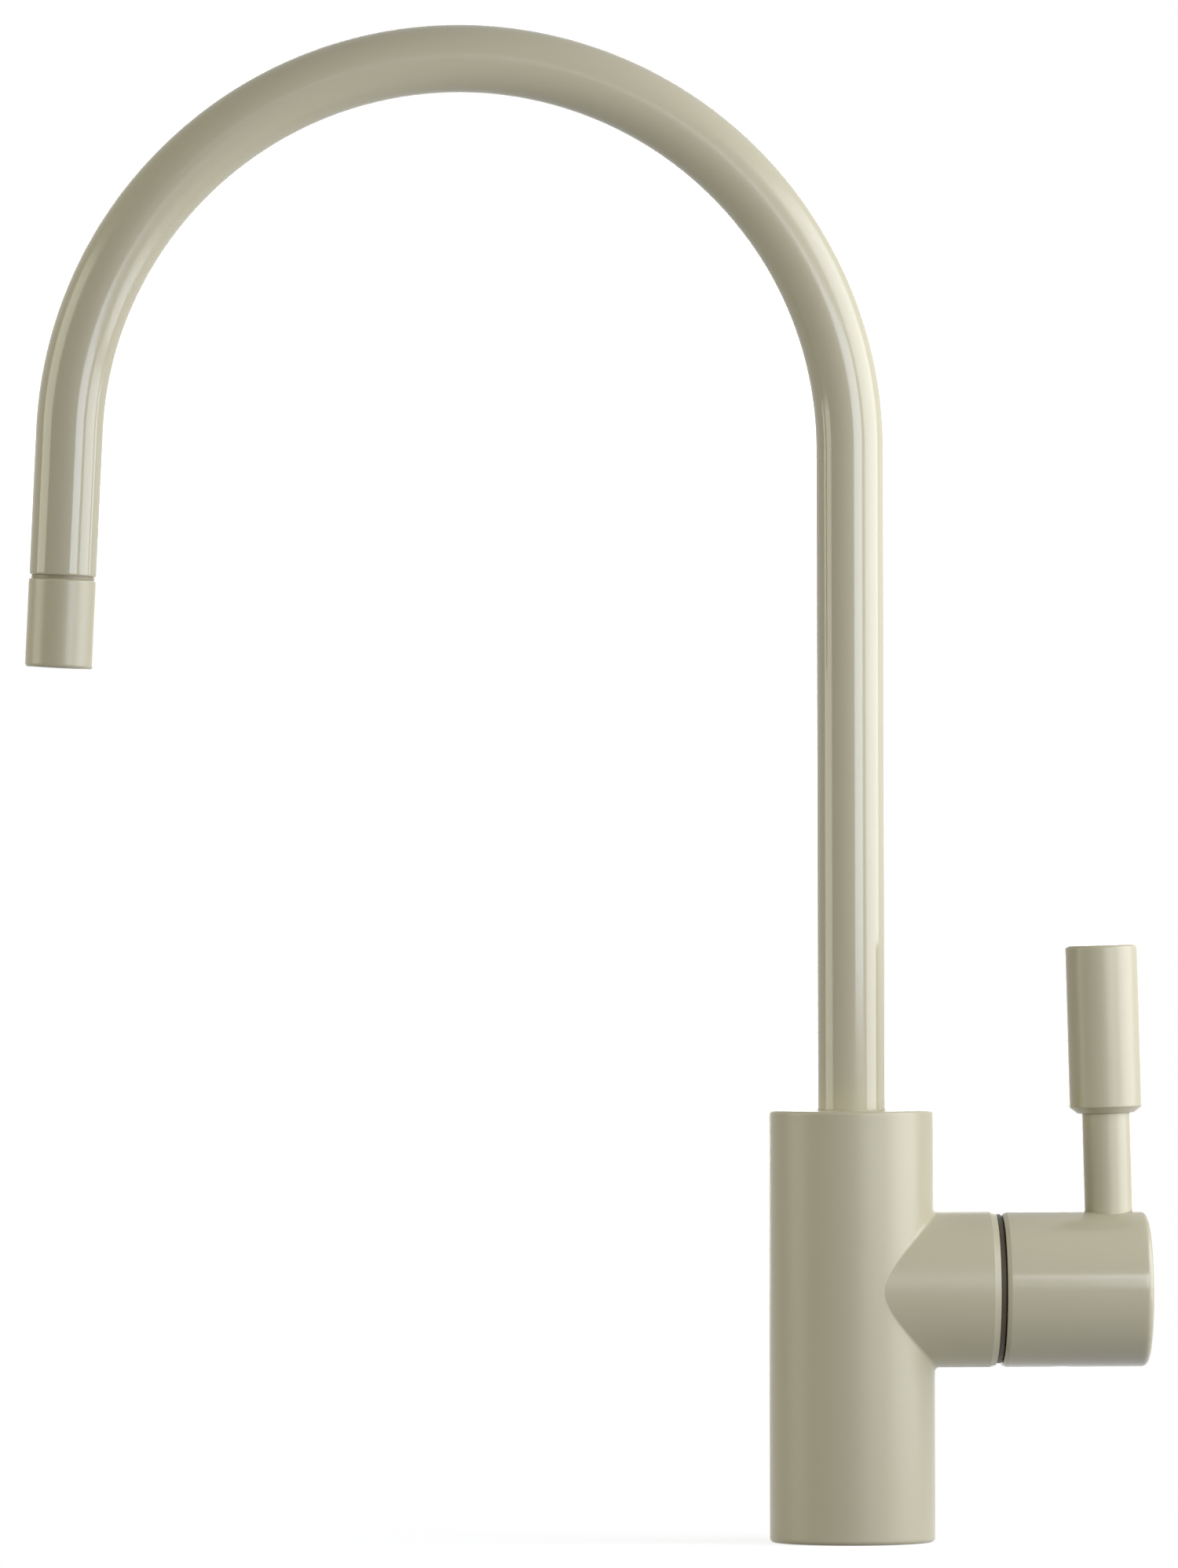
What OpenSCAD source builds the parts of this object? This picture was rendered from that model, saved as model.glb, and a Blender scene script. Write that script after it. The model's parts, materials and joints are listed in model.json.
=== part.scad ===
// Drinking water filter tap: round body, side valve with a quarter-turn lever, swivel gooseneck spout.
// Millimetres, +Z up. The origin is the middle of the base, on the worktop.
// The valve lies along +X, the spout reaches towards -X and the user stands at -Y.

/* [Body] */
// Diameter of the upright body
body_d = 30.8; // [29.6:0.1:34]
// Height of the upright body
body_h = 80.4; // [68:0.1:110]
// Rounding of the body's top rim
body_rim_r = 0.6; // [0.2:0.1:1.2]
// Rounding of the body's foot
body_foot_r = 0.8; // [0.2:0.1:1.2]
// Diameter of the side branch, and of the handle hub that carries on its line
branch_d = 29.2; // [28:0.1:30.2]
// Wall between the spout's socket and the valve's chamber below it
socket_web = 3.85; // [2.5:0.05:10]
// Distance from the body's axis to the end face of the branch
branch_reach = 26.7; // [24:0.1:34]
// Rounding of the branch's end rim
branch_rim_r = 1; // [0.2:0.1:1.2]

/* [Base fixing] */
// Core diameter of the threaded fixing socket, for an M12 x 1 shank
fixing_core_d = 11; // [10:0.1:12.5]
// Depth of the threaded fixing socket
fixing_depth = 13; // [10:0.5:16]
// Outside diameter of the washer above the shank
inlet_washer_d = 10; // [9:0.1:11]
// Hole of the washer above the shank
inlet_washer_hole = 6; // [5:0.1:7]
// Thickness of the washer above the shank
inlet_washer_t = 2; // [1.5:0.1:3]
// Middle diameter of the base gasket
gasket_mid_d = 22; // [19:0.1:23]
// Width of the base gasket
gasket_w = 3; // [2:0.1:4]
// Thickness of the base gasket
gasket_t = 2; // [1.2:0.1:3]
// Bore of the upright inlet waterway
inlet_way_d = 5; // [4:0.1:6]
// Bore of the waterway from the valve up to the spout
outlet_way_d = 3.2; // [2.4:0.1:3.4]
// Distance of that waterway from the cartridge's seat
outlet_way_inset = 0.3; // [0.1:0.1:0.5]

/* [Spout] */
// Outside diameter of the spout tube
tube_d = 12.7; // [12:0.1:13.2]
// Wall of the spout tube
tube_wall = 1; // [0.8:0.05:1.4]
// Straight height of the riser above the body
riser_h = 123.1; // [60:0.1:180]
// Middle radius of the gooseneck bend
bend_r = 72.6; // [50:0.1:100]
// Angle that the gooseneck turns through
bend_angle = 177.2; // [150:0.1:180]
// Straight length of tube after the bend
tip_leg = 27; // [12:0.1:60]
// Rounding of the tube's outlet end
tube_rim_r = 0.4; // [0.1:0.05:0.6]

/* [Spout swivel] */
// Wall of the spout's foot round the tube
foot_wall = 1.65; // [1.4:0.05:2]
// Length of the spout's foot
foot_h = 17; // [15:0.1:20]
// Depth that the tube is brazed into the foot
foot_socket = 6; // [5:0.1:7]
// Water bore of the foot
foot_bore = 9; // [7:0.1:10]
// Depth of the seal grooves in the foot
foot_seal_depth = 1.6; // [1.3:0.05:1.8]
// Distance between the two seal grooves
foot_seal_pitch = 4.2; // [3.6:0.1:4.8]
// Side room of the retaining screw's point in its groove
dog_room = 0.3; // [0.1:0.05:0.5]
// Depth of the retaining groove
retain_depth = 0.9; // [0.6:0.05:1]
// Ledge that the bearing bush at the top of the body sits on
bush_ledge = 1; // [0.6:0.1:2]
// Height of the bearing bush
bush_h = 4; // [3:0.1:5]
// Diameter of the spout's retaining screw
set_screw_d = 4; // [3:0.1:4]
// Diameter of the screw's dog point
dog_d = 2.4; // [1.8:0.1:2.6]
// How far the retaining screw sits below the body's surface
set_screw_sink = 1; // [0.5:0.1:2]
// Hexagon key of the retaining and handle screws, across flats
screw_key = 2; // [1.5:0.1:2]
// Depth of the key socket
screw_key_depth = 2.2; // [1.6:0.1:2.6]

/* [Outlet] */
// Length of the outlet nozzle
nozzle_h = 16.5; // [14:0.1:22]
// Gap between the tube's end and the nozzle
nozzle_gap = 0.6; // [0.4:0.1:1]
// Rounding of the nozzle's rims
nozzle_rim_r = 0.5; // [0.2:0.05:0.7]
// Wall of the nozzle
nozzle_wall = 1.3; // [1:0.05:1.6]
// How far the nozzle's lip reaches in under the straightener
nozzle_lip_w = 0.75; // [0.4:0.05:1]
// Thickness of the nozzle's lip
nozzle_lip_h = 1.2; // [0.8:0.1:2]
// Length of the flow straightener
straightener_h = 5.5; // [4:0.1:6.5]
// Rings of cells round the straightener's middle cell
cell_rings = 2; // [1:1:3]
// Wall between the straightener's cells
cell_wall = 0.4; // [0.3:0.05:0.6]
// Rim of the straightener round its cells
straightener_rim = 0.85; // [0.4:0.05:1.2]
// Thickness of the washer above the straightener
outlet_washer_t = 1.5; // [1:0.1:2]
// Wall of the outlet adaptor inside the tube
adaptor_wall = 1.8; // [1.2:0.1:2.4]
// Length of the adaptor inside the tube
adaptor_root = 8; // [6:0.1:10]
// How far the adaptor's neck is sunk in the gap below the tube's surface
adaptor_sink = 0.5; // [0.3:0.05:0.7]

/* [Valve cartridge] */
// Distance from the body's axis to the cartridge's seat
seat_x = 4.3; // [3.6:0.1:4.8]
// Bore of the seat's inlet hole
seat_hole = 6; // [5:0.1:7]
// Diameter of the ceramic discs
disc_d = 11.4; // [10:0.1:13]
// Thickness of each ceramic disc
disc_t = 2.5; // [2.1:0.1:2.9]
// Inside diameter of the discs' ports
port_in_d = 3.6; // [3:0.1:4.4]
// Outside diameter of the discs' ports
port_out_d = 9.2; // [8:0.1:9.6]
// Angle that each port of the fixed disc spans
port_angle = 70; // [50:1:76]
// Angle that each lobe of the moving disc spans
lobe_angle = 100; // [90:1:110]
// Diameter of the moving disc's middle, which joins its lobes
lobe_core_d = 4.4; // [4:0.1:5]
// Width of the fixed disc's lugs
lug_w = 2.4; // [1.8:0.1:3]
// Thickness of the lip seal between the seat and the fixed disc
lip_seal_t = 2; // [1.7:0.1:2.3]
// Wall of the cartridge's nose round the discs
nose_wall = 1.45; // [1.2:0.05:1.8]
// Room for water between the nose and its chamber
nose_room = 0.8; // [0.6:0.1:1]
// Width of the two windows in the nose
window_w = 7; // [5:0.1:8]
// Length of the plain land that carries the cartridge's seal
land_h = 3; // [2.5:0.1:3.5]
// Step from the chamber's bore out to the cartridge's thread
thread_step = 1; // [0.6:0.1:1.4]
// Step from the thread out to the cartridge's flange
flange_step = 2; // [1.4:0.1:2.2]
// Thickness of the cartridge's flange
flange_t = 3; // [2.4:0.1:3.5]
// How far the flange lies below the branch's end face
flange_sink = 0.8; // [0.5:0.1:1.2]
// Height of the cartridge's hexagon
hex_h = 5; // [4:0.1:6]
// How far the hexagon's corners lie inside the flange's circle
hex_inset = 0.3; // [0.1:0.05:0.6]
// Wall of the neck beyond the hexagon
neck_wall = 2; // [1.6:0.1:2.6]
// Length of the neck beyond the hexagon
neck_h = 2.2; // [1.5:0.1:2.6]
// Diameter of the spindle
spindle_d = 8; // [7:0.1:9]
// How far the square drive's corners lie inside the spindle's circle
square_inset = 0.2; // [0.1:0.05:0.4]
// Length of the square drive
square_h = 9; // [7:0.1:10.4]
// Thickness of the spindle's drive plate
plate_t = 2; // [1.6:0.1:2.4]
// Width of the tongue that turns the moving disc
tongue_w = 3; // [2.4:0.1:3.4]
// Height of the tongue that turns the moving disc
tongue_h = 1.3; // [1:0.1:1.5]
// Length of the tongue that turns the moving disc
tongue_len = 8.2; // [7:0.1:9.4]
// Thickness of the slip washer behind the drive plate
slip_washer_t = 0.5; // [0.4:0.1:0.7]
// Section of the cartridge's own seals
small_seal = 1.3; // [1.1:0.05:1.5]
// Distance between the spindle's two seals
spindle_seal_pitch = 2.8; // [2.2:0.1:3.2]
// Thickness of the spindle's retaining clip
clip_t = 0.9; // [0.7:0.1:1]
// Depth of the retaining clip's groove
clip_depth = 0.8; // [0.6:0.1:1]
// How far the retaining clip stands out of the spindle
clip_reach = 1.5; // [1:0.1:1.8]
// Open angle of the retaining clip
clip_open = 70; // [50:1:100]

/* [Handle] */
// Gap between the branch and the handle hub
seam_gap = 1.2; // [0.9:0.1:1.6]
// How far the dark glide ring in the gap is sunk below the surface
glide_ring_sink = 0.7; // [0.4:0.1:1]
// Length of the handle hub
hub_len = 27.3; // [23:0.1:34]
// Rounding of the hub's rim beside the gap
hub_rim_r = 0.6; // [0.2:0.1:1]
// Rounding of the hub's closed end
hub_end_r = 1.3; // [0.4:0.1:2]
// Distance from the hub's closed end to the lever's axis
lever_inset = 7.2; // [6.1:0.1:8.4]
// Lean of the lever towards the spout, in degrees
lever_lean = 1.5; // [0:0.1:3]
// Diameter of the lever's stem
stem_d = 9; // [7.6:0.1:10.4]
// Length of stem that shows between the hub and the grip
stem_h = 18.1; // [14:0.1:30]
// Depth that the stem is let into the hub
stem_seat = 1.5; // [1.2:0.1:2.5]
// Diameter of the stem's threaded ends
stem_thread_d = 6; // [5:0.1:6.4]
// Length of the stem's threaded end in the hub
stem_root = 6.5; // [5:0.1:7.6]
// Length of the stem's threaded end in the grip
stem_tenon = 12; // [8:0.1:20]
// Diameter of the lever's grip
grip_d = 13.6; // [11:0.1:16]
// Length of the lever's grip
grip_h = 31.3; // [24:0.1:40]
// Rounding of the grip's top rim
grip_rim_r = 0.7; // [0.2:0.1:1.2]
// Width of the bevel round the grip's foot
grip_bevel_w = 1.5; // [0.5:0.1:2]
// Height of the bevel round the grip's foot
grip_bevel_h = 1.2; // [0.5:0.1:2.5]
// Diameter of the screw that holds the hub on the spindle
hub_screw_d = 4; // [3:0.1:4]
// How far the hub's screw sits below the surface
hub_screw_sink = 1.2; // [0.6:0.1:2]

/* [Clearances] */
// Radial gap where one piece turns in another
running_gap = 0.05; // [0.03:0.01:0.1]
// Gap round a piece that sits still in another
seating_gap = 0.03; // [0.02:0.01:0.06]
// End gap between pieces that turn against each other
face_gap = 0.05; // [0.02:0.01:0.1]
// Space below the spout's foot
foot_room = 0.5; // [0.3:0.1:0.8]
// Side room of a round seal in its groove
seal_room = 0.4; // [0.2:0.05:0.6]
// Room round the cartridge's flange and hexagon in the glide ring and in the hub
flange_room = 0.5; // [0.3:0.1:0.9]

/* [Hidden] */
$fn = 96;

// How far a cut runs past the face that it opens
cut = 1;

// Finishes
enamel = "#cbc4ab";
brass = "#c9a552";
rubber = "#242321";
ivory_acetal = "#e6e0cf";
black_acetal = "#2b2822";
ceramic = "#f1efe9";
fluoropolymer = "#f7f7f4";
steel = "#a9abad";

// Spout swivel: diameters out from the tube, then heights down from the body's top
foot_d = tube_d + 2 * foot_wall;
foot_bore_d = foot_d + 2 * running_gap;
foot_seal = foot_seal_depth - seating_gap;
bush_d = foot_d + 2 * bush_ledge;
retain_w = dog_d + 2 * dog_room;
bush_z = body_h - bush_h;
foot_top_z = bush_z - face_gap;
foot_z = foot_top_z - foot_h;
socket_floor_z = foot_z - foot_room;
tube_z = foot_top_z - foot_socket;
foot_seal_z = (foot_z + tube_z) / 2;
retain_z = foot_top_z - foot_socket / 2;
dog_reach = foot_d / 2 - retain_depth / 2;

// Gooseneck: the bend's middle, then the outlet's end and its lean from upright
bend_z = body_h + riser_h;
tip_lean = 180 - bend_angle;
tip_length = tip_leg + nozzle_gap + nozzle_h;
tip_x = -bend_r * (1 - cos(bend_angle)) - tip_length * sin(tip_lean);
tip_z = bend_z + bend_r * sin(bend_angle) - tip_length * cos(tip_lean);
tube_bore = tube_d - 2 * tube_wall;
// The bend's wall is a hair thinner than the straight runs' and laps into theirs, so that all are one tube
bend_draw = 0.005;
bend_lap = 0.3;

// Outlet: diameters in from the tube, then heights up the leg from the nozzle's end
nozzle_bore = tube_d - 2 * nozzle_wall;
nozzle_mouth = nozzle_bore - 2 * nozzle_lip_w;
insert_d = nozzle_bore - 2 * seating_gap;
adaptor_d = tube_bore - 2 * seating_gap;
adaptor_bore = adaptor_d - 2 * adaptor_wall;
cell_reach = insert_d / 2 - straightener_rim;
cell_pitch = (cell_reach + cell_wall / sqrt(3)) / (cell_rings + 1 / sqrt(3));
cell_w = cell_pitch - cell_wall;
straightener_z = nozzle_lip_h;
outlet_washer_z = straightener_z + straightener_h;
adaptor_z = outlet_washer_z + outlet_washer_t;
tube_end_z = nozzle_h + nozzle_gap;

// Cartridge: diameters out from the discs
nose_bore = disc_d + 2 * running_gap;
nose_d = nose_bore + 2 * nose_wall;
chamber_d = nose_d + 2 * nose_room;
land_groove_d = chamber_d - 2 * (small_seal + 3 * seating_gap);
valve_thread_d = chamber_d + 2 * thread_step;
flange_d = valve_thread_d + 2 * flange_step;
spindle_bore = spindle_d + 2 * running_gap;
spindle_groove_d = spindle_d - 2 * (small_seal + seating_gap);
neck_d = spindle_d + 2 * neck_wall;
clip_groove_d = spindle_d - 2 * clip_depth;
clip_d = spindle_d + 2 * clip_reach;
square_w = (spindle_d - 2 * square_inset) / sqrt(2);

// Cartridge: distances along the valve from its seat
valve_depth = branch_reach - seat_x;
nose_u = lip_seal_t / 4;
fixed_disc_u = lip_seal_t;
moving_disc_u = fixed_disc_u + disc_t + face_gap;
plate_u = moving_disc_u + disc_t + face_gap;
slip_washer_u = plate_u + plate_t + face_gap;
shoulder_u = slip_washer_u + slip_washer_t + face_gap;
land_seal_u = shoulder_u + land_h / 2;
thread_u = shoulder_u + land_h;
flange_u = valve_depth - flange_sink - flange_t;
hex_u = flange_u + flange_t;
neck_u = hex_u + hex_h;
clip_u = neck_u + neck_h + face_gap;
square_u = clip_u + clip_t + face_gap;
spindle_seal_u = (shoulder_u + neck_u) / 2;

// Valve's height, then the handle's distances along +X from the body's axis
branch_z = socket_floor_z - socket_web - chamber_d / 2;
hub_x = branch_reach + seam_gap;
hub_hollow_d = flange_d + 4 * flange_room;
hub_hollow_x = seat_x + square_u + flange_room;
square_end_x = seat_x + square_u + square_h;
lever_x = hub_x + hub_len - lever_inset;
hub_screw_x = (hub_hollow_x + square_end_x) / 2;
hub_top_z = branch_z + branch_d / 2;

// Half of the outline of a round post whose low and high rims are rounded, for turning about Z
module post_outline(r, h, low_r, high_r) {
    square([r - low_r, h / 2]);
    translate([0, h / 2]) square([r - high_r, h / 2]);
    translate([0, low_r]) square([r, h - low_r - high_r]);
    if (low_r > 0) translate([r - low_r, low_r]) circle(low_r);
    if (high_r > 0) translate([r - high_r, h - high_r]) circle(high_r);
}

// A round post that stands on the XY plane
module round_post(r, h, low_r, high_r) {
    rotate_extrude() intersection() {
        post_outline(r, h, low_r, high_r);
        square([r, h]);
    }
}

// A plain ring that stands on the XY plane
module ring(outer_d, inner_d, h) {
    difference() {
        cylinder(d = outer_d, h = h);
        translate([0, 0, -cut]) cylinder(d = inner_d, h = h + 2 * cut);
    }
}

// A rubber ring of round section, seated on a groove of the given diameter
module seal_ring(groove_d, section) {
    rotate_extrude() translate([groove_d / 2 + section / 2 + seating_gap, 0]) circle(d = section);
}

// The room of a square-sided groove round Z, from inner_r outwards past outer_r
module groove(inner_r, outer_r, w) {
    translate([0, 0, -w / 2]) difference() {
        cylinder(r = outer_r + cut, h = w);
        translate([0, 0, -cut]) cylinder(r = inner_r, h = w + 2 * cut);
    }
}

// A flat sector of a ring, centred on +Y
module sector(inner_r, outer_r, angle) {
    reach_x = 2 * outer_r * sin(angle / 2);
    reach_y = 2 * outer_r * cos(angle / 2);
    intersection() {
        difference() {
            circle(r = outer_r);
            if (inner_r > 0) circle(r = inner_r);
        }
        polygon([[0, 0], [-reach_x, reach_y], [reach_x, reach_y]]);
    }
}

// A six-sided bar, measured across its flats
module hex_bar(across_flats, h) {
    cylinder(d = across_flats / cos(30), h = h, $fn = 6);
}

// A headless screw along +Z with its key socket at the top
module key_screw(d, length) {
    difference() {
        cylinder(d = d, h = length);
        translate([0, 0, length - screw_key_depth]) hex_bar(screw_key, screw_key_depth + cut);
    }
}

// Frames: the valve's axis, the cartridge's seat, the lever's root and the outlet's end
module along_valve() {
    translate([0, 0, branch_z]) rotate([0, 90, 0]) children();
}

module along_seat() {
    along_valve() translate([0, 0, seat_x]) children();
}

module at_lever() {
    translate([lever_x, 0, hub_top_z]) rotate([0, -lever_lean, 0]) children();
}

module at_outlet() {
    translate([tip_x, 0, tip_z]) rotate([0, tip_lean, 0]) children();
}

// The line of the spout's retaining screw, from the body's axis to the back
module at_set_screw() {
    translate([0, 0, retain_z]) rotate([-90, 0, 0]) children();
}

// The line of the hub's screw, from the valve's axis downwards
module at_hub_screw() {
    translate([hub_screw_x, 0, branch_z]) rotate([180, 0, 0]) children();
}

// Upright body with its side branch, bored for the shank, the spout and the cartridge
module body() {
    color(enamel) difference() {
        union() {
            round_post(body_d / 2, body_h, body_foot_r, body_rim_r);
            along_valve() round_post(branch_d / 2, branch_reach, 0, branch_rim_r);
        }
        fixing_socket();
        spout_socket();
        valve_socket();
        gasket_groove();
        at_set_screw() cylinder(d = set_screw_d + 2 * seating_gap, h = body_d);
    }
}

// Threaded socket, washer recess and upright waterway in the base
module fixing_socket() {
    washer_top = fixing_depth + inlet_washer_t + seating_gap;
    translate([0, 0, -cut]) cylinder(d = fixing_core_d, h = fixing_depth + cut);
    cylinder(d = inlet_washer_d + 2 * seating_gap, h = washer_top);
    cylinder(d = inlet_way_d, h = branch_z);
}

// Stepped socket in the body's top for the bush and the spout's foot
module spout_socket() {
    translate([0, 0, bush_z]) cylinder(d = bush_d + 2 * seating_gap, h = bush_h + cut);
    translate([0, 0, socket_floor_z]) cylinder(d = foot_bore_d, h = foot_h + bush_h);
    way_x = seat_x + outlet_way_d / 2 + outlet_way_inset;
    translate([way_x, 0, branch_z]) cylinder(d = outlet_way_d, h = socket_floor_z - branch_z + foot_room);
}

// Stepped socket in the branch for the cartridge
module valve_socket() {
    along_valve() cylinder(d = seat_hole, h = branch_reach);
    along_seat() {
        cylinder(d = chamber_d, h = valve_depth);
        translate([0, 0, thread_u]) cylinder(d = valve_thread_d + 2 * seating_gap, h = valve_depth);
        translate([0, 0, flange_u - seating_gap]) cylinder(d = flange_d + 2 * seating_gap, h = valve_depth);
    }
}

// Groove in the underside for the base gasket
module gasket_groove() {
    translate([0, 0, -cut]) ring(
        gasket_mid_d + gasket_w + 2 * seating_gap,
        gasket_mid_d - gasket_w - 2 * seating_gap,
        gasket_t + 2 * seating_gap + cut
    );
}

// Flat rubber ring that seals the base to the worktop
module base_gasket() {
    color(rubber) translate([0, 0, seating_gap])
        ring(gasket_mid_d + gasket_w, gasket_mid_d - gasket_w, gasket_t);
}

// Rubber washer that the shank's end presses on
module inlet_washer() {
    color(rubber) translate([0, 0, fixing_depth])
        ring(inlet_washer_d, inlet_washer_hole, inlet_washer_t);
}

// Bearing ring that guides the riser at the body's top
module spout_bush() {
    color(ivory_acetal) translate([0, 0, bush_z]) ring(bush_d, tube_d + 2 * running_gap, bush_h);
}

// Headless screw at the back, whose dog point runs in the foot's groove
module spout_set_screw() {
    shank = foot_bore_d / 2 + seating_gap;
    outer = body_d / 2 - set_screw_sink;
    color(steel) at_set_screw() {
        translate([0, 0, shank]) key_screw(set_screw_d, outer - shank);
        translate([0, 0, dog_reach]) cylinder(d = dog_d, h = shank - dog_reach);
    }
}

// Screwed brass housing of the quarter-turn cartridge
module valve_housing() {
    color(brass) along_seat() difference() {
        union() {
            translate([0, 0, nose_u]) cylinder(d = nose_d, h = shoulder_u - nose_u);
            translate([0, 0, shoulder_u]) cylinder(d = chamber_d - 2 * seating_gap, h = land_h);
            translate([0, 0, thread_u]) cylinder(d = valve_thread_d, h = flange_u - thread_u);
            translate([0, 0, flange_u]) cylinder(d = flange_d, h = flange_t);
            translate([0, 0, hex_u]) hex_bar((flange_d - 2 * hex_inset) * cos(30), hex_h);
            translate([0, 0, neck_u]) cylinder(d = neck_d, h = neck_h);
        }
        cylinder(d = nose_bore, h = shoulder_u);
        cylinder(d = spindle_bore, h = neck_u + neck_h + cut);
        housing_windows();
        lug_slots();
        translate([0, 0, land_seal_u]) groove(land_groove_d / 2, chamber_d / 2, small_seal + seal_room);
    }
}

// Two side windows of the cartridge, level with the moving disc and in line with the fixed disc's ports
module housing_windows() {
    translate([-window_w / 2, -nose_d / 2 - cut, moving_disc_u]) cube([window_w, nose_d + 2 * cut, disc_t]);
}

// Two slots in the cartridge's nose that hold the fixed disc's lugs
module lug_slots() {
    w = lug_w + 2 * seating_gap;
    depth = fixed_disc_u + disc_t + seating_gap;
    translate([-nose_d / 2 - cut, -w / 2, 0]) cube([nose_d + 2 * cut, w, depth]);
}

// Rubber ring between the cartridge's housing and the chamber
module valve_housing_seal() {
    color(rubber) along_seat() translate([0, 0, land_seal_u]) seal_ring(land_groove_d, small_seal);
}

// Rubber ring that presses the fixed disc from the seat
module valve_lip_seal() {
    thickness = lip_seal_t - 2 * seating_gap;
    color(rubber) along_seat() translate([0, 0, seating_gap])
        ring(disc_d - 2 * seating_gap, port_out_d, thickness);
}

// Ceramic disc with two ports, held by its lugs
module fixed_disc() {
    color(ceramic) along_seat() translate([0, 0, fixed_disc_u]) linear_extrude(disc_t) {
        difference() {
            union() {
                circle(d = disc_d);
                square([nose_d - 2 * seating_gap, lug_w], center = true);
            }
            for (turn = [0, 180]) rotate(turn) sector(port_in_d / 2, port_out_d / 2, port_angle);
        }
    }
}

// Dark ring sunk in the seam between the branch and the hub
module glide_ring() {
    outer = branch_d - 2 * glide_ring_sink;
    inner = flange_d + 2 * flange_room;
    color(black_acetal) along_valve() translate([0, 0, branch_reach])
        ring(outer, inner, seam_gap - 4 * face_gap);
}

// Bent spout tube from the foot to the outlet
module spout_tube() {
    color(enamel) {
        translate([0, 0, tube_z]) ring(tube_d, tube_bore, bend_z - tube_z);
        translate([-bend_r, 0, bend_z]) rotate([90, bend_lap, 0])
            rotate_extrude(angle = bend_angle + 2 * bend_lap) translate([bend_r, 0]) bend_section();
        at_outlet() translate([0, 0, tube_end_z]) difference() {
            round_post(tube_d / 2, tip_leg, tube_rim_r, 0);
            translate([0, 0, -cut]) cylinder(d = tube_bore, h = tip_length);
        }
    }
}

// Section of the spout tube in its bend
module bend_section() {
    difference() {
        circle(d = tube_d - 2 * bend_draw);
        circle(d = tube_bore + 2 * bend_draw);
    }
}

// Turned foot that the riser is brazed into, with its seal and retaining grooves
module spout_foot() {
    color(brass) difference() {
        translate([0, 0, foot_z]) cylinder(d = foot_d, h = foot_h);
        translate([0, 0, foot_z - cut]) cylinder(d = foot_bore, h = foot_h + 2 * cut);
        translate([0, 0, tube_z - seating_gap]) cylinder(d = tube_d + 2 * seating_gap, h = foot_socket + cut);
        for (side = [-1, 1]) translate([0, 0, foot_seal_z + side * foot_seal_pitch / 2])
            groove(foot_d / 2 - foot_seal_depth, foot_d / 2, foot_seal + seal_room);
        translate([0, 0, retain_z]) groove(foot_d / 2 - retain_depth, foot_d / 2, retain_w);
    }
}

// Two rubber rings that seal the swivel
module spout_seals() {
    color(rubber) for (side = [-1, 1]) translate([0, 0, foot_seal_z + side * foot_seal_pitch / 2])
        seal_ring(foot_d - 2 * foot_seal_depth, foot_seal);
}

// Hollow stub brazed into the tube's end, which the nozzle screws onto
module outlet_adaptor() {
    color(enamel) at_outlet() difference() {
        union() {
            translate([0, 0, adaptor_z]) cylinder(d = insert_d, h = nozzle_h - adaptor_z);
            translate([0, 0, nozzle_h]) cylinder(d = tube_d - 2 * adaptor_sink, h = nozzle_gap);
            translate([0, 0, tube_end_z]) cylinder(d = adaptor_d, h = adaptor_root);
        }
        translate([0, 0, adaptor_z - cut]) cylinder(d = adaptor_bore, h = nozzle_h + adaptor_root + 2 * cut);
    }
}

// Outlet sleeve on the line of the tube
module outlet_nozzle() {
    color(enamel) at_outlet() difference() {
        round_post(tube_d / 2, nozzle_h, nozzle_rim_r, nozzle_rim_r);
        translate([0, 0, nozzle_lip_h]) cylinder(d = nozzle_bore, h = nozzle_h);
        translate([0, 0, -cut]) cylinder(d = nozzle_mouth, h = nozzle_h);
    }
}

// Rubber washer between the adaptor and the straightener
module outlet_washer() {
    color(rubber) at_outlet() translate([0, 0, outlet_washer_z])
        ring(insert_d, adaptor_bore, outlet_washer_t - seating_gap);
}

// Honeycomb insert that makes the stream clear and straight
module flow_straightener() {
    color(ivory_acetal) at_outlet() translate([0, 0, straightener_z]) difference() {
        cylinder(d = insert_d, h = straightener_h);
        translate([0, 0, -cut]) straightener_cells(straightener_h + 2 * cut);
    }
}

// Six-sided cells in rings round a middle cell
module straightener_cells(h) {
    for (row = [-cell_rings : cell_rings], column = [-cell_rings : cell_rings])
        if (abs(row + column) <= cell_rings)
            translate(cell_pitch * [column + row / 2, row * sin(60), 0]) rotate(30) hex_bar(cell_w, h);
}

// Spindle with its drive plate, tongue, seal grooves and square
module valve_spindle() {
    color(brass) along_seat() difference() {
        union() {
            translate([0, 0, plate_u]) cylinder(d = disc_d, h = plate_t);
            translate([-tongue_w / 2, -tongue_len / 2, plate_u - tongue_h])
                cube([tongue_w, tongue_len, tongue_h]);
            translate([0, 0, plate_u]) cylinder(d = spindle_d, h = square_u - plate_u);
            translate([-square_w / 2, -square_w / 2, square_u]) cube([square_w, square_w, square_h]);
        }
        at_spindle_seals() groove(spindle_groove_d / 2, spindle_d / 2, small_seal + seal_room);
        translate([0, 0, clip_u + clip_t / 2])
            groove(clip_groove_d / 2, spindle_d / 2, clip_t + 2 * seating_gap);
    }
}

// The places of the spindle's two seals
module at_spindle_seals() {
    for (side = [-1, 1]) translate([0, 0, spindle_seal_u + side * spindle_seal_pitch / 2]) children();
}

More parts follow.
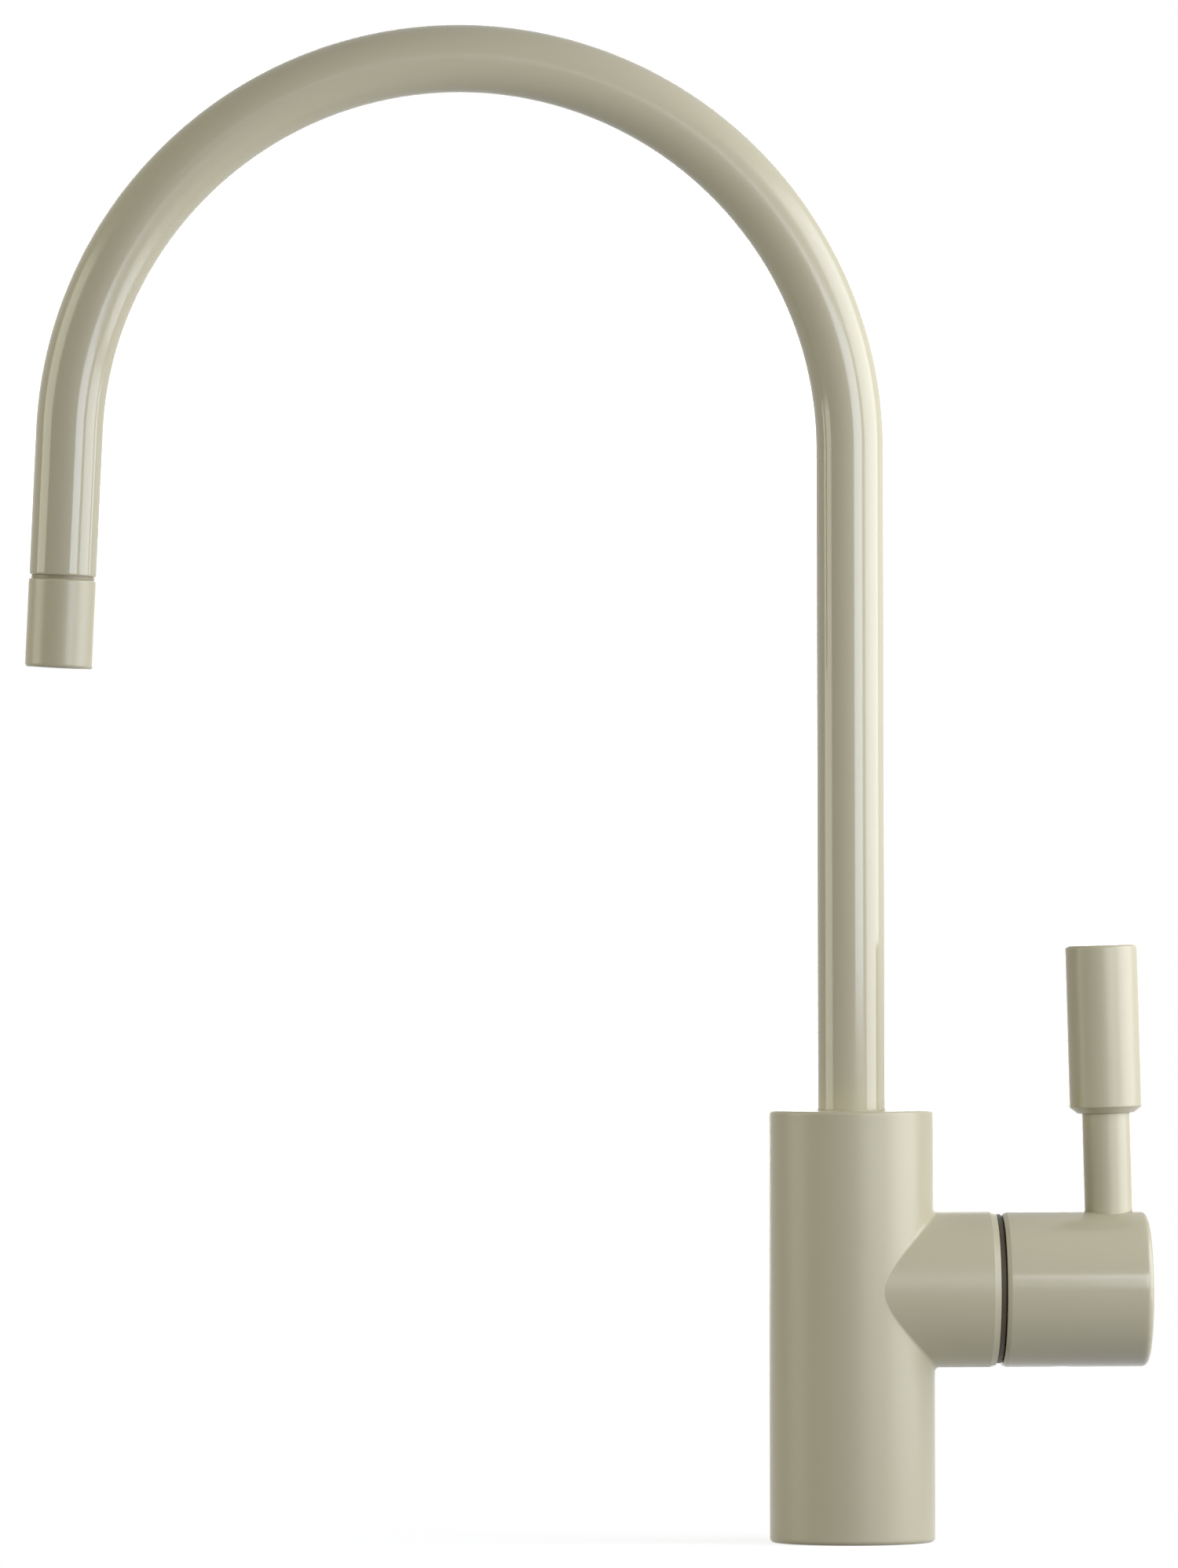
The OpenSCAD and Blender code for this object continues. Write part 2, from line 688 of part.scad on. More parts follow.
// Ceramic disc with two lobes that open or close the ports
module moving_disc() {
    slot_w = tongue_w + 2 * seating_gap;
    color(ceramic) along_seat() translate([0, 0, moving_disc_u]) difference() {
        linear_extrude(disc_t) {
            circle(d = lobe_core_d);
            for (turn = [0, 180]) rotate(turn) sector(0, disc_d / 2, lobe_angle);
        }
        translate([-slot_w / 2, -disc_d, disc_t - tongue_h]) cube([slot_w, 2 * disc_d, tongue_h + cut]);
    }
}

// Two rubber rings that seal the spindle
module spindle_seals() {
    color(rubber) along_seat() at_spindle_seals() seal_ring(spindle_groove_d, small_seal);
}

// Slippery washer between the drive plate and the housing's shoulder
module slip_washer() {
    color(fluoropolymer) along_seat() translate([0, 0, slip_washer_u])
        ring(disc_d, spindle_d + 2 * seating_gap, slip_washer_t);
}

// Open spring clip that keeps the spindle in its housing
module spindle_clip() {
    inner_r = clip_groove_d / 2 + seating_gap;
    width = clip_d / 2 - inner_r;
    color(steel) along_seat() translate([0, 0, clip_u + seating_gap]) rotate(clip_open / 2)
        rotate_extrude(angle = 360 - clip_open) translate([inner_r, 0]) square([width, clip_t - seating_gap]);
}

// Turning hub of the handle, hollow over the cartridge and broached for the square
module handle_hub() {
    socket_w = square_w + 2 * seating_gap;
    color(enamel) difference() {
        along_valve() difference() {
            translate([0, 0, hub_x]) round_post(branch_d / 2, hub_len, hub_rim_r, hub_end_r);
            translate([0, 0, hub_x - cut]) cylinder(d = hub_hollow_d, h = hub_hollow_x - hub_x + cut);
            translate([-socket_w / 2, -socket_w / 2, hub_hollow_x - cut])
                cube([socket_w, socket_w, square_end_x + seating_gap - hub_hollow_x + cut]);
        }
        at_lever() {
            translate([0, 0, -stem_seat]) cylinder(d = stem_d + 2 * seating_gap, h = stem_seat + cut);
            translate([0, 0, -stem_seat - stem_root - seating_gap])
                cylinder(d = stem_thread_d + 2 * seating_gap, h = stem_root + cut);
        }
        at_hub_screw() cylinder(d = hub_screw_d + 2 * seating_gap, h = branch_d);
    }
}

// Headless screw under the hub that bears on the spindle's square
module hub_screw() {
    tip = square_w / 2 + seating_gap;
    color(steel) at_hub_screw() translate([0, 0, tip])
        key_screw(hub_screw_d, branch_d / 2 - hub_screw_sink - tip);
}

// Round stem of the lever, screwed into the hub and the grip
module lever_stem() {
    color(enamel) at_lever() {
        translate([0, 0, -stem_seat]) cylinder(d = stem_d, h = stem_seat + stem_h);
        translate([0, 0, -stem_seat - stem_root]) cylinder(d = stem_thread_d, h = stem_root);
        translate([0, 0, stem_h]) cylinder(d = stem_thread_d, h = stem_tenon);
    }
}

// Thicker cylindrical grip at the lever's end
module lever_grip() {
    color(enamel) at_lever() translate([0, 0, stem_h]) difference() {
        round_post(grip_d / 2, grip_h, 0, grip_rim_r);
        grip_bevel();
        translate([0, 0, -cut])
            cylinder(d = stem_thread_d + 2 * seating_gap, h = stem_tenon + seating_gap + cut);
    }
}

// The corner that is turned away round the grip's foot
module grip_bevel() {
    r = grip_d / 2;
    rise = grip_bevel_h / grip_bevel_w;
    rotate_extrude() polygon([
        [r - grip_bevel_w - cut, -rise * cut],
        [r + cut, -rise * cut],
        [r + cut, grip_bevel_h + rise * cut]
    ]);
}

body();
base_gasket();
inlet_washer();
spout_bush();
spout_set_screw();
valve_housing();
valve_housing_seal();
valve_lip_seal();
fixed_disc();
glide_ring();
spout_tube();
spout_foot();
spout_seals();
outlet_adaptor();
outlet_nozzle();
outlet_washer();
flow_straightener();
valve_spindle();
moving_disc();
spindle_seals();
slip_washer();
spindle_clip();
handle_hub();
hub_screw();
lever_stem();
lever_grip();
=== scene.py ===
"""Dressed model of a drinking water filter tap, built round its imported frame.

Sizes are in millimetres and in the frame's own axes: the origin is the middle of the base on the
worktop, +Z is up, the valve lies along +X, the spout reaches towards -X and the user stands at -Y.
"""

from __future__ import annotations

import json
import logging
from collections.abc import Callable, Sequence
from dataclasses import dataclass, replace
from enum import Enum
from functools import cache

import bmesh
import bpy
import numpy as np
from bpy.types import Material, NodeOutputs, NodeSocket, NodeTree, Object, World
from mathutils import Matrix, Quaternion, Vector


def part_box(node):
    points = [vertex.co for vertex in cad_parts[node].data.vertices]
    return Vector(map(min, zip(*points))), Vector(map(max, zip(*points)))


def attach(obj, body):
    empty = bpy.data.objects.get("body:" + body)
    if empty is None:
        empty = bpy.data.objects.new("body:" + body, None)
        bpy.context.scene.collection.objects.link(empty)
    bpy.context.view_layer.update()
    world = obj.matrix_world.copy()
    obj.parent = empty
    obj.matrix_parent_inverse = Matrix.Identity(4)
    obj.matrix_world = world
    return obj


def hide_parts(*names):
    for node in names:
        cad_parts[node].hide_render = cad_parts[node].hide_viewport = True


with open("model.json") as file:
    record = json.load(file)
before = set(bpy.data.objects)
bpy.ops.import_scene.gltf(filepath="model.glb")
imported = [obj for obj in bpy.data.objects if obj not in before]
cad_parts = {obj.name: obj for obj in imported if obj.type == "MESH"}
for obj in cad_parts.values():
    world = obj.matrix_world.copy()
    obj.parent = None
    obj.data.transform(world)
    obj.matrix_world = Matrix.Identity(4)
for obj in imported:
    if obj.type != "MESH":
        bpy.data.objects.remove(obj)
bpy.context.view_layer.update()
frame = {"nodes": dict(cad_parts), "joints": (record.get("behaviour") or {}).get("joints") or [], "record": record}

log = logging.getLogger("filter_tap")

MM = 0.001
# Points round a turned wall, up one side of an unrolled wall, and in an arc
RING = 180
SIDE = 32
ARC = 8
# Steps from a hole to the edge of its unrolled wall. The hub is glossier than the body and needs more
RAYS = 28
HUB_RAYS = 56
# Steps along the branch's straight wall
BRANCH_STEPS = 2
# Steps from crest to crest of a screw thread, and how much steeper its flanks are than a plain wave's
THREAD_STEPS = 8
THREAD_STEEPNESS = 1.5
# Points closer than this are one point, in metres
WELD = 2e-6
# Faces that meet at more than this angle keep a crisp edge
CRISP = np.radians(32)
# Share of a rounding's radius between its arc and the next row, which keeps long walls' shading straight
SUPPORT = 0.4

# Least half angle in radians, and least length of the bisector, for corners that hardly turn
LEAST_ANGLE = 1e-3
LEAST_LENGTH = 1e-9

# A Mix node's sockets for colours, which share their names with its sockets for other values
MIX_FACTOR = 0
MIX_FIRST = 6
MIX_SECOND = 7
MIX_RESULT = 2
# Most of a noise pattern lies between these levels
NOISE_LEVELS = (0.3, 0.7)

Array = np.ndarray
Pair = tuple[float, float]
Triple = tuple[float, float, float]


class Part(Enum):
    """The bodies that a piece can ride on, the fixed one and the two that turn."""

    FIXED = "tap_body"
    SPOUT = "spout"
    LEVER = "lever"


class Slot(Enum):
    """The record's material slots."""

    ENAMEL = "almond_enamel"
    BRASS = "turned_brass"
    RUBBER = "black_rubber"
    IVORY = "ivory_acetal"
    BLACK = "black_acetal"
    CERAMIC = "alumina_ceramic"
    FLUOROPOLYMER = "white_fluoropolymer"
    STEEL = "stainless_steel"


def box_mm(node: str) -> tuple[Array, Array]:
    """Lowest and highest corner of a frame node, in millimetres."""
    low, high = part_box(node)
    return np.array(low) / MM, np.array(high) / MM


@dataclass(frozen=True)
class Axis:
    """A straight axis, with a first direction across it from which turns are measured."""

    origin: Triple
    along: Triple
    across: Triple

    def directions(self) -> tuple[Array, Array, Array]:
        """The direction along the axis and the two across it."""
        along, across = np.array(self.along, float), np.array(self.across, float)
        return along, across, np.cross(along, across)

    def points(self, place: Array, radius: Array, turn: Array) -> Array:
        """Points by their place along the axis, radius from it and turn about it.

        Args:
            place: Distance along the axis.
            radius: Distance from the axis.
            turn: Angle from the first direction across, in radians.

        Returns:
            Points, in the shape that the three arguments share.
        """
        along, across, third = self.directions()
        place, radius, turn = np.broadcast_arrays(place, radius, turn)
        flat = np.multiply.outer(radius * np.cos(turn), across)
        flat += np.multiply.outer(radius * np.sin(turn), third)
        return np.array(self.origin, float) + np.multiply.outer(place, along) + flat


def full_turn(count: int = RING) -> Array:
    """Evenly spaced angles once round, with the first repeated at the end."""
    return np.linspace(-np.pi, np.pi, count + 1)


def rounded(corners: Sequence[Triple]) -> Array:
    """Outline whose corners are rounded.

    A corner P between neighbours A and B becomes the arc that touches PA and PB at a distance of
    radius / tan(half the corner's angle) from P, about a centre on the corner's bisector. A row stands
    just outside each end of the arc, so that shading on the straight runs isn't drawn into the arc.
    The first and last corners of an open outline have no radius.

    Args:
        corners: Place along the axis, radius from the axis and rounding of each corner.

    Returns:
        Outline points as rows of place and radius.
    """
    table = np.array(corners, float)
    points, rounding = table[:, :2], table[:, 2:]
    back = np.roll(points, 1, axis=0) - points
    ahead = np.roll(points, -1, axis=0) - points
    back /= np.linalg.norm(back, axis=1, keepdims=True)
    ahead /= np.linalg.norm(ahead, axis=1, keepdims=True)
    half = np.arccos(np.clip((back * ahead).sum(1, keepdims=True), -1, 1)) / 2
    half = np.clip(half, LEAST_ANGLE, np.pi / 2 - LEAST_ANGLE)
    reach = rounding / np.tan(half)
    bisector = back + ahead
    bisector /= np.maximum(np.linalg.norm(bisector, axis=1, keepdims=True), LEAST_LENGTH)
    centre = points + bisector * rounding / np.sin(half)
    first = points + back * reach - centre
    last = points + ahead * reach - centre
    sweep = (np.pi - 2 * half)[:, :, None]
    share = np.linspace(0, 1, ARC + 1)[None, :, None]
    arcs = np.sin((1 - share) * sweep) * first[:, None] + np.sin(share * sweep) * last[:, None]
    arcs = centre[:, None] + arcs / np.sin(sweep)
    outer = SUPPORT * rounding
    before = points + back * (reach + outer)
    after = points + ahead * (reach + outer)
    return np.concatenate([before[:, None], arcs, after[:, None]], axis=1).reshape(-1, 2)


def turned(axis: Axis, corners: Sequence[Triple], turns: Array, ring: bool = False) -> Array:
    """Surface of revolution: each rounded outline point at its place and radius, at every turn.

    Args:
        axis: The axis to turn about.
        corners: The outline's corners, as rounded takes them.
        turns: Angles, in radians.
        ring: Whether the outline runs back to its first point.

    Returns:
        Grid of points.
    """
    outline = rounded(corners)
    if ring:
        outline = np.concatenate([outline, outline[:1]])
    return axis.points(outline[:, :1], outline[:, 1:], turns[None, :])


def threaded(axis: Axis, span: Pair, radii: Pair, pitch: float, turns: Array) -> Array:
    """Screw thread: the radius swings once per pitch between root and crest, later by a pitch each turn.

    The swing is a triangle wave of place / pitch - turn / full turn, with its tips cut flat, and it
    fades out over one pitch at both ends.

    Args:
        axis: The thread's axis.
        span: Where the thread starts and ends along the axis.
        radii: Radius of the plain ends and radius of the far side of the thread.
        pitch: Distance from crest to crest.
        turns: Angles, in radians.

    Returns:
        Grid of points.
    """
    low, high = span
    rows = int(np.ceil((high - low) / pitch * THREAD_STEPS))
    place = np.linspace(low, high, rows + 1)[:, None]
    wave = np.abs((place / pitch - turns[None, :] / (2 * np.pi)) % 1 - 0.5) * 2
    wave = np.clip(THREAD_STEEPNESS * (wave - 0.5) + 0.5, 0, 1)
    fade = np.clip(np.minimum(place - low, high - place) / pitch, 0, 1)
    return axis.points(place, radii[0] + (radii[1] - radii[0]) * wave * fade, turns[None, :])


@dataclass(frozen=True)
class RoundHole:
    """A stepped round hole let into a round wall.

    The hole's axis meets the wall's surface at one place and turn. It is square to the wall's axis but
    for a lean along it. Below its rounded rim, steps give the radius and the level, which is the
    distance from the wall's axis, of each corner down to the middle of the floor.
    """

    wall: Axis
    wall_radius: float
    place: float
    turn: float
    radius: float
    rim: float
    steps: tuple[Pair, ...]
    lean: float = 0.0

    def surface(self, radius: Array, way: Array) -> Array:
        """Level of the wall at a radius from the hole's axis and a way round it, by Pythagoras."""
        return np.sqrt(self.wall_radius**2 - (radius * np.cos(way)) ** 2)

    def shifted(self, radius: Array, way: Array, level: Array) -> Array:
        """Place along the wall of a point of the hole, which follows the hole's lean with its level."""
        leant = (level - self.wall_radius) * np.tan(self.lean)
        return self.place + radius * np.sin(way) / np.cos(self.lean) - leant

    def mouth(self, way: Array) -> tuple[Array, Array]:
        """The rim's outer edge on the wall: turn from the hole's middle, and place.

        The turn's sine is the distance across the wall over the wall's radius.

        Args:
            way: Angles round the hole.

        Returns:
            Turns and places.
        """
        radius = self.radius + self.rim
        turn = np.arcsin(radius * np.cos(way) / self.wall_radius)
        return turn, self.shifted(radius, way, self.surface(radius, way))

    def lining(self, way: Array) -> Array:
        """Rim and walls of the hole: a quarter circle in from the mouth, then its steps to the middle.

        Args:
            way: Angles round the hole.

        Returns:
            Grid of points.
        """
        bend = np.linspace(0, np.pi / 2, ARC + 1)[:, None]
        radius = self.radius + self.rim * (1 - np.sin(bend)) + 0 * way
        level = self.surface(radius, way) - self.rim * (1 - np.cos(bend))
        step = np.array(self.steps)
        radius = np.concatenate([radius, step[:, :1] + 0 * way])
        level = np.concatenate([level, step[:, 1:] + 0 * way])
        along, across, third = self.wall.directions()
        out = np.cos(self.turn) * across + np.sin(self.turn) * third
        side = -np.sin(self.turn) * across + np.cos(self.turn) * third
        place = self.shifted(radius, way, level)
        grid = np.multiply.outer(place, along) + np.multiply.outer(level, out)
        return np.array(self.wall.origin) + grid + np.multiply.outer(radius * np.cos(way), side)


Mouth = Callable[[Array], tuple[Array, Array]]


def holed_wall(
    axis: Axis, radius: float, span: Pair, turn: float, middle: float, mouth: Mouth, steps: int = RAYS
) -> tuple[Array, Array]:
    """Round wall with one hole in it.

    The wall is unrolled flat and cut open opposite the hole. Straight rays run on it from the hole's
    edge to the flat wall's four edges, whose points are evenly spaced so that rims can join them.

    Args:
        axis: The wall's axis.
        radius: The wall's radius.
        span: Where the wall starts and ends along the axis.
        turn: Angle of the hole's middle.
        middle: Place of the hole's middle along the axis.
        mouth: Gives turns from the hole's middle and places of the hole's edge, for angles round the hole.
        steps: Steps along each ray.

    Returns:
        Grid of points, and the angle round the hole of each ray.
    """
    low, high = span
    sweep = full_turn()
    climb = np.linspace(low, high, SIDE + 1)
    edge_turn = np.concatenate([sweep[:-1], np.full(SIDE, np.pi), sweep[:0:-1], np.full(SIDE + 1, -np.pi)])
    edge_place = np.concatenate([np.full(RING, high), climb[:0:-1], np.full(RING, low), climb])
    way = np.unwrap(np.arctan2(edge_place - middle, radius * edge_turn))
    mouth_turn, mouth_place = mouth(way)
    share = np.linspace(0, 1, steps + 1)[:, None]
    turns = mouth_turn + share * (edge_turn - mouth_turn)
    places = mouth_place + share * (edge_place - mouth_place)
    return axis.points(places, radius, turn + turns), way


def joined(name: str, grids: Sequence[Array]) -> Object:
    """One closed mesh from grids of points, in millimetres.

    Each grid gives faces of four points between neighbouring rows and columns. The grids are welded
    where they meet, and the faces are turned outwards and shaded smooth.

    Args:
        name: The new object's name.
        grids: Points in rows and columns.

    Returns:
        The object, linked to the scene.
    """
    faces = []
    count = 0
    for grid in grids:
        rows, columns = grid.shape[:2]
        index = count + np.arange(rows * columns).reshape(rows, columns)
        corners = [index[:-1, :-1], index[1:, :-1], index[1:, 1:], index[:-1, 1:]]
        faces.append(np.stack(corners, axis=-1).reshape(-1, 4))
        count += rows * columns
    points = np.concatenate([grid.reshape(-1, 3) for grid in grids])
    mesh = bpy.data.meshes.new(name)
    mesh.from_pydata(points * MM, [], np.concatenate(faces).tolist())
    work = bmesh.new()
    work.from_mesh(mesh)
    bmesh.ops.remove_doubles(work, verts=work.verts, dist=WELD)
    bmesh.ops.recalc_face_normals(work, faces=work.faces)
    work.to_mesh(mesh)
    work.free()
    mesh.shade_smooth()
    mesh.set_sharp_from_angle(angle=CRISP)
    piece = bpy.data.objects.new(name, mesh)
    bpy.context.scene.collection.objects.link(piece)
    return piece


def linear(code: str) -> tuple[float, float, float, float]:
    """Linear colour of an sRGB hex code.

    The curve is sRGB's own, a straight line near black and a power above that.

    Args:
        code: Six hex digits after a hash.

    Returns:
        Red, green, blue and full alpha.
    """
    share = np.array([int(code[i : i + 2], 16) for i in (1, 3, 5)]) / 255
    value = np.where(share <= 0.04045, share / 12.92, ((share + 0.055) / 1.055) ** 2.4)
    return (*value.tolist(), 1.0)


def empty_tree(owner: Material | World) -> NodeTree:
    """Turn on a material's or world's nodes, and clear them.

    Args:
        owner: The material or world.

    Returns:
        Its node tree.
    """
    owner.use_nodes = True
    owner.node_tree.nodes.clear()
    return owner.node_tree


def add_node(tree: NodeTree, kind: str, settings: dict, links: dict) -> NodeOutputs:
    """Add a shader node with its settings and links.

    Args:
        tree: The node tree.
        kind: The node's type name, without the ShaderNode that each starts with.
        settings: Values by property name, or by socket name or number where no property has that name.
        links: Source sockets by input socket name or number.

    Returns:
        The node's output sockets.
    """
    node = tree.nodes.new("ShaderNode" + kind)
    for key, value in settings.items():
        if isinstance(key, str) and hasattr(node, key):
            setattr(node, key, value)
        else:
            node.inputs[key].default_value = value
    for key, source in links.items():
        tree.links.new(source, node.inputs[key])
    return node.outputs


@dataclass(frozen=True)
class Finish:
    """A finish with two tones, a broad drift between them, and a fine relief on its surface.

    The drift and relief sizes are the patterns' real widths, and relief_height its real height. A haze
    dulls the gloss with height: where it starts, where it is full, and the roughness that it then adds.
    The patterns lie on Object coordinates, whose unit is a metre.
    """

    name: str
    tone: str
    second_tone: str
    roughness: Pair
    drift_size: float
    relief_size: float
    relief_height: float
    metallic: float = 0.0
    ior: float = 1.5
    relief_stretch: Triple = (1.0, 1.0, 1.0)
    haze: Triple | None = None

    @cache
    def make(self) -> Material:
        """Build the finish's material, once.

        Returns:
            The material.
        """
        material = bpy.data.materials.new(self.name)
        tree = empty_tree(material)
        place = add_node(tree, "TexCoord", {}, {})["Object"]
        broad = {"Scale": 1 / (self.drift_size * MM), "Detail": 3.0, "Roughness": 0.55}
        drift = add_node(tree, "TexNoise", broad, {"Vector": place})["Fac"]
        stretched = add_node(tree, "Mapping", {"Scale": self.relief_stretch}, {"Vector": place})["Vector"]
        fine = {"Scale": 1 / (self.relief_size * MM), "Detail": 2.0, "Roughness": 0.5}
        relief = add_node(tree, "TexNoise", fine, {"Vector": stretched})["Fac"]
        tones = {"data_type": "RGBA", MIX_FIRST: linear(self.tone), MIX_SECOND: linear(self.second_tone)}
        colour = add_node(tree, "Mix", tones, {MIX_FACTOR: drift})[MIX_RESULT]
        least, most = NOISE_LEVELS
        low, high = self.roughness
        spread = {"From Min": least, "From Max": most, "To Min": low, "To Max": high}
        gloss = add_node(tree, "MapRange", spread, {"Value": relief})["Result"]
        if self.haze is not None:
            start, stop, added = self.haze
            height = add_node(tree, "SeparateXYZ", {}, {"Vector": place})["Z"]
            climb = {"From Min": start * MM, "From Max": stop * MM, "To Max": added}
            dulled = add_node(tree, "MapRange", climb, {"Value": height})["Result"]
            gloss = add_node(tree, "Math", {"operation": "ADD"}, {0: gloss, 1: dulled})["Value"]
        bump = add_node(tree, "Bump", {"Distance": self.relief_height * MM}, {"Height": relief})["Normal"]
        substance = {"Metallic": self.metallic, "IOR": self.ior}
        look = {"Base Color": colour, "Roughness": gloss, "Normal": bump}
        shader = add_node(tree, "BsdfPrincipled", substance, look)["BSDF"]
        add_node(tree, "OutputMaterial", {}, {"Surface": shader})
        return material


ALMOND = ("#c7bfa0", "#c4bc9c")
YELLOW = ("#c8a24c", "#b8913c")
ENAMEL_IOR = 1.55
# Stoving enamel, sprayed on smooth drawn tube and baked: warm almond with a wet gloss that keeps the
# edges of reflections, and an orange peel so shallow that it only just bends them. On the bend, where
# bending roughens the metal, the gloss is softer
TUBE_ENAMEL = Finish(
    "stoving_enamel_on_tube", *ALMOND, (0.08, 0.12), 24, 1.6, 0.002, ior=ENAMEL_IOR, haze=(206, 246, 0.14)
)
# The same enamel on the turned hub: a softer gloss that still draws a lamp as a line
HUB_ENAMEL = Finish("stoving_enamel_on_hub", *ALMOND, (0.15, 0.19), 24, 1.5, 0.003, ior=ENAMEL_IOR)
# The same enamel on the lever and the outlet sleeve: satin, with soft edges to its reflections
LEVER_ENAMEL = Finish("stoving_enamel_on_lever", *ALMOND, (0.285, 0.32), 24, 1.5, 0.004, ior=ENAMEL_IOR)
# The same enamel on the cast body: an orange peel from the thicker coat spreads reflections
CAST_ENAMEL = Finish("stoving_enamel_on_casting", *ALMOND, (0.3, 0.36), 24, 1.4, 0.006, ior=ENAMEL_IOR)
# The same enamel in the groove above the outlet sleeve, made darker and duller: painted shade that stands for the
# shadow in the groove
GROOVE_SHADE_ENAMEL = Finish(
    "stoving_enamel_painted_groove_shade", "#9d9376", "#91876a", (0.42, 0.5), 12, 0.8, 0.006, ior=ENAMEL_IOR
)
# Brass turned on a lathe: bright yellow metal with the tool's fine rings round the valve's axis
BRASS = Finish(
    "turned_brass", *YELLOW, (0.29, 0.38), 9, 0.2, 0.004, metallic=1.0, relief_stretch=(1.0, 0.03, 0.03)
)
# The same brass, turned about the spout's upright axis
FOOT_BRASS = replace(BRASS, name="turned_brass_upright", relief_stretch=(0.03, 0.03, 1.0))
# Nitrile rubber, moulded: matt black with a faint grain from the mould
RUBBER = Finish("moulded_nitrile_rubber", "#232220", "#2b2a27", (0.6, 0.75), 5, 0.4, 0.01)
# Acetal, moulded: waxy ivory with a satin skin
IVORY = Finish("moulded_acetal_ivory", "#e4decc", "#dcd5c0", (0.36, 0.46), 8, 0.6, 0.004, ior=1.48)
# Acetal, moulded and dyed black: satin and dark like the real ring, with a brown-olive tone that is painted shade
# of the gap between the branch and the hub
BLACK = Finish("moulded_acetal_black_gap_shade", "#463f2d", "#3c3526", (0.5, 0.6), 6, 0.6, 0.004, ior=1.48)
# Alumina, sintered and lapped flat: cold white, smooth, with grains that show only as a faint mottle
CERAMIC = Finish("lapped_alumina", "#f0eee8", "#e6e4dc", (0.16, 0.26), 1.5, 0.3, 0.001, ior=1.76)
# Fluoropolymer, skived from a billet: milky white and soft, with a faint grain from the knife
FLUOROPOLYMER = Finish("skived_fluoropolymer", "#f4f4f0", "#ebebe6", (0.5, 0.6), 4, 0.3, 0.004, ior=1.35)
# Stainless steel, cold drawn: grey, with a fine grain from the die
STEEL = Finish("drawn_stainless_steel", "#a8a9ab", "#8f9092", (0.29, 0.4), 3, 0.25, 0.004, metallic=1.0)

FINISHES: dict[Slot, Finish] = {
    Slot.ENAMEL: CAST_ENAMEL,
    Slot.BRASS: BRASS,
    Slot.RUBBER: RUBBER,
    Slot.IVORY: IVORY,
    Slot.BLACK: BLACK,
    Slot.CERAMIC: CERAMIC,
    Slot.FLUOROPOLYMER: FLUOROPOLYMER,
    Slot.STEEL: STEEL,
}
# The outlet adaptor takes the darker enamel, whose tones paint the groove's shade
NODE_FINISHES: dict[str, Finish] = {"spout_foot": FOOT_BRASS, "outlet_adaptor": GROOVE_SHADE_ENAMEL}


def dress_nodes() -> None:
    """Give each frame node its own finish, or else the finish of its slot in the record."""
    for row in frame["record"]["subparts"]:
        finish = NODE_FINISHES.get(row["node"], FINISHES[Slot(row["material_slot"])])
        frame["nodes"][row["node"]].material_slots[0].material = finish.make()


def dress(piece: Object, slot: Slot, part: Part, node: str, finish: Finish | None = None) -> None:
    """Give a new piece its finish and the body it rides on, and hide the frame node that it stands for.

    Args:
        piece: The new piece.
        slot: Its material slot.
        part: The body that it rides on.
        node: The frame node that it replaces.
        finish: Its finish, where that isn't the slot's usual one.
    """
    piece.data.materials.append((finish or FINISHES[slot]).make())
    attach(piece, part.value)
    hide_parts(node)
    log.info("%s: %d faces, for %s", piece.name, len(piece.data.polygons), node)


UPRIGHT = Axis((0, 0, 0), (0, 0, 1), (1, 0, 0))
LEVER_JOINT = next(joint for joint in frame["joints"] if joint["name"] == "lever_turn")
VALVE = Axis((0, 0, LEVER_JOINT["pos_m"][2] / MM), (1, 0, 0), (0, 0, 1))


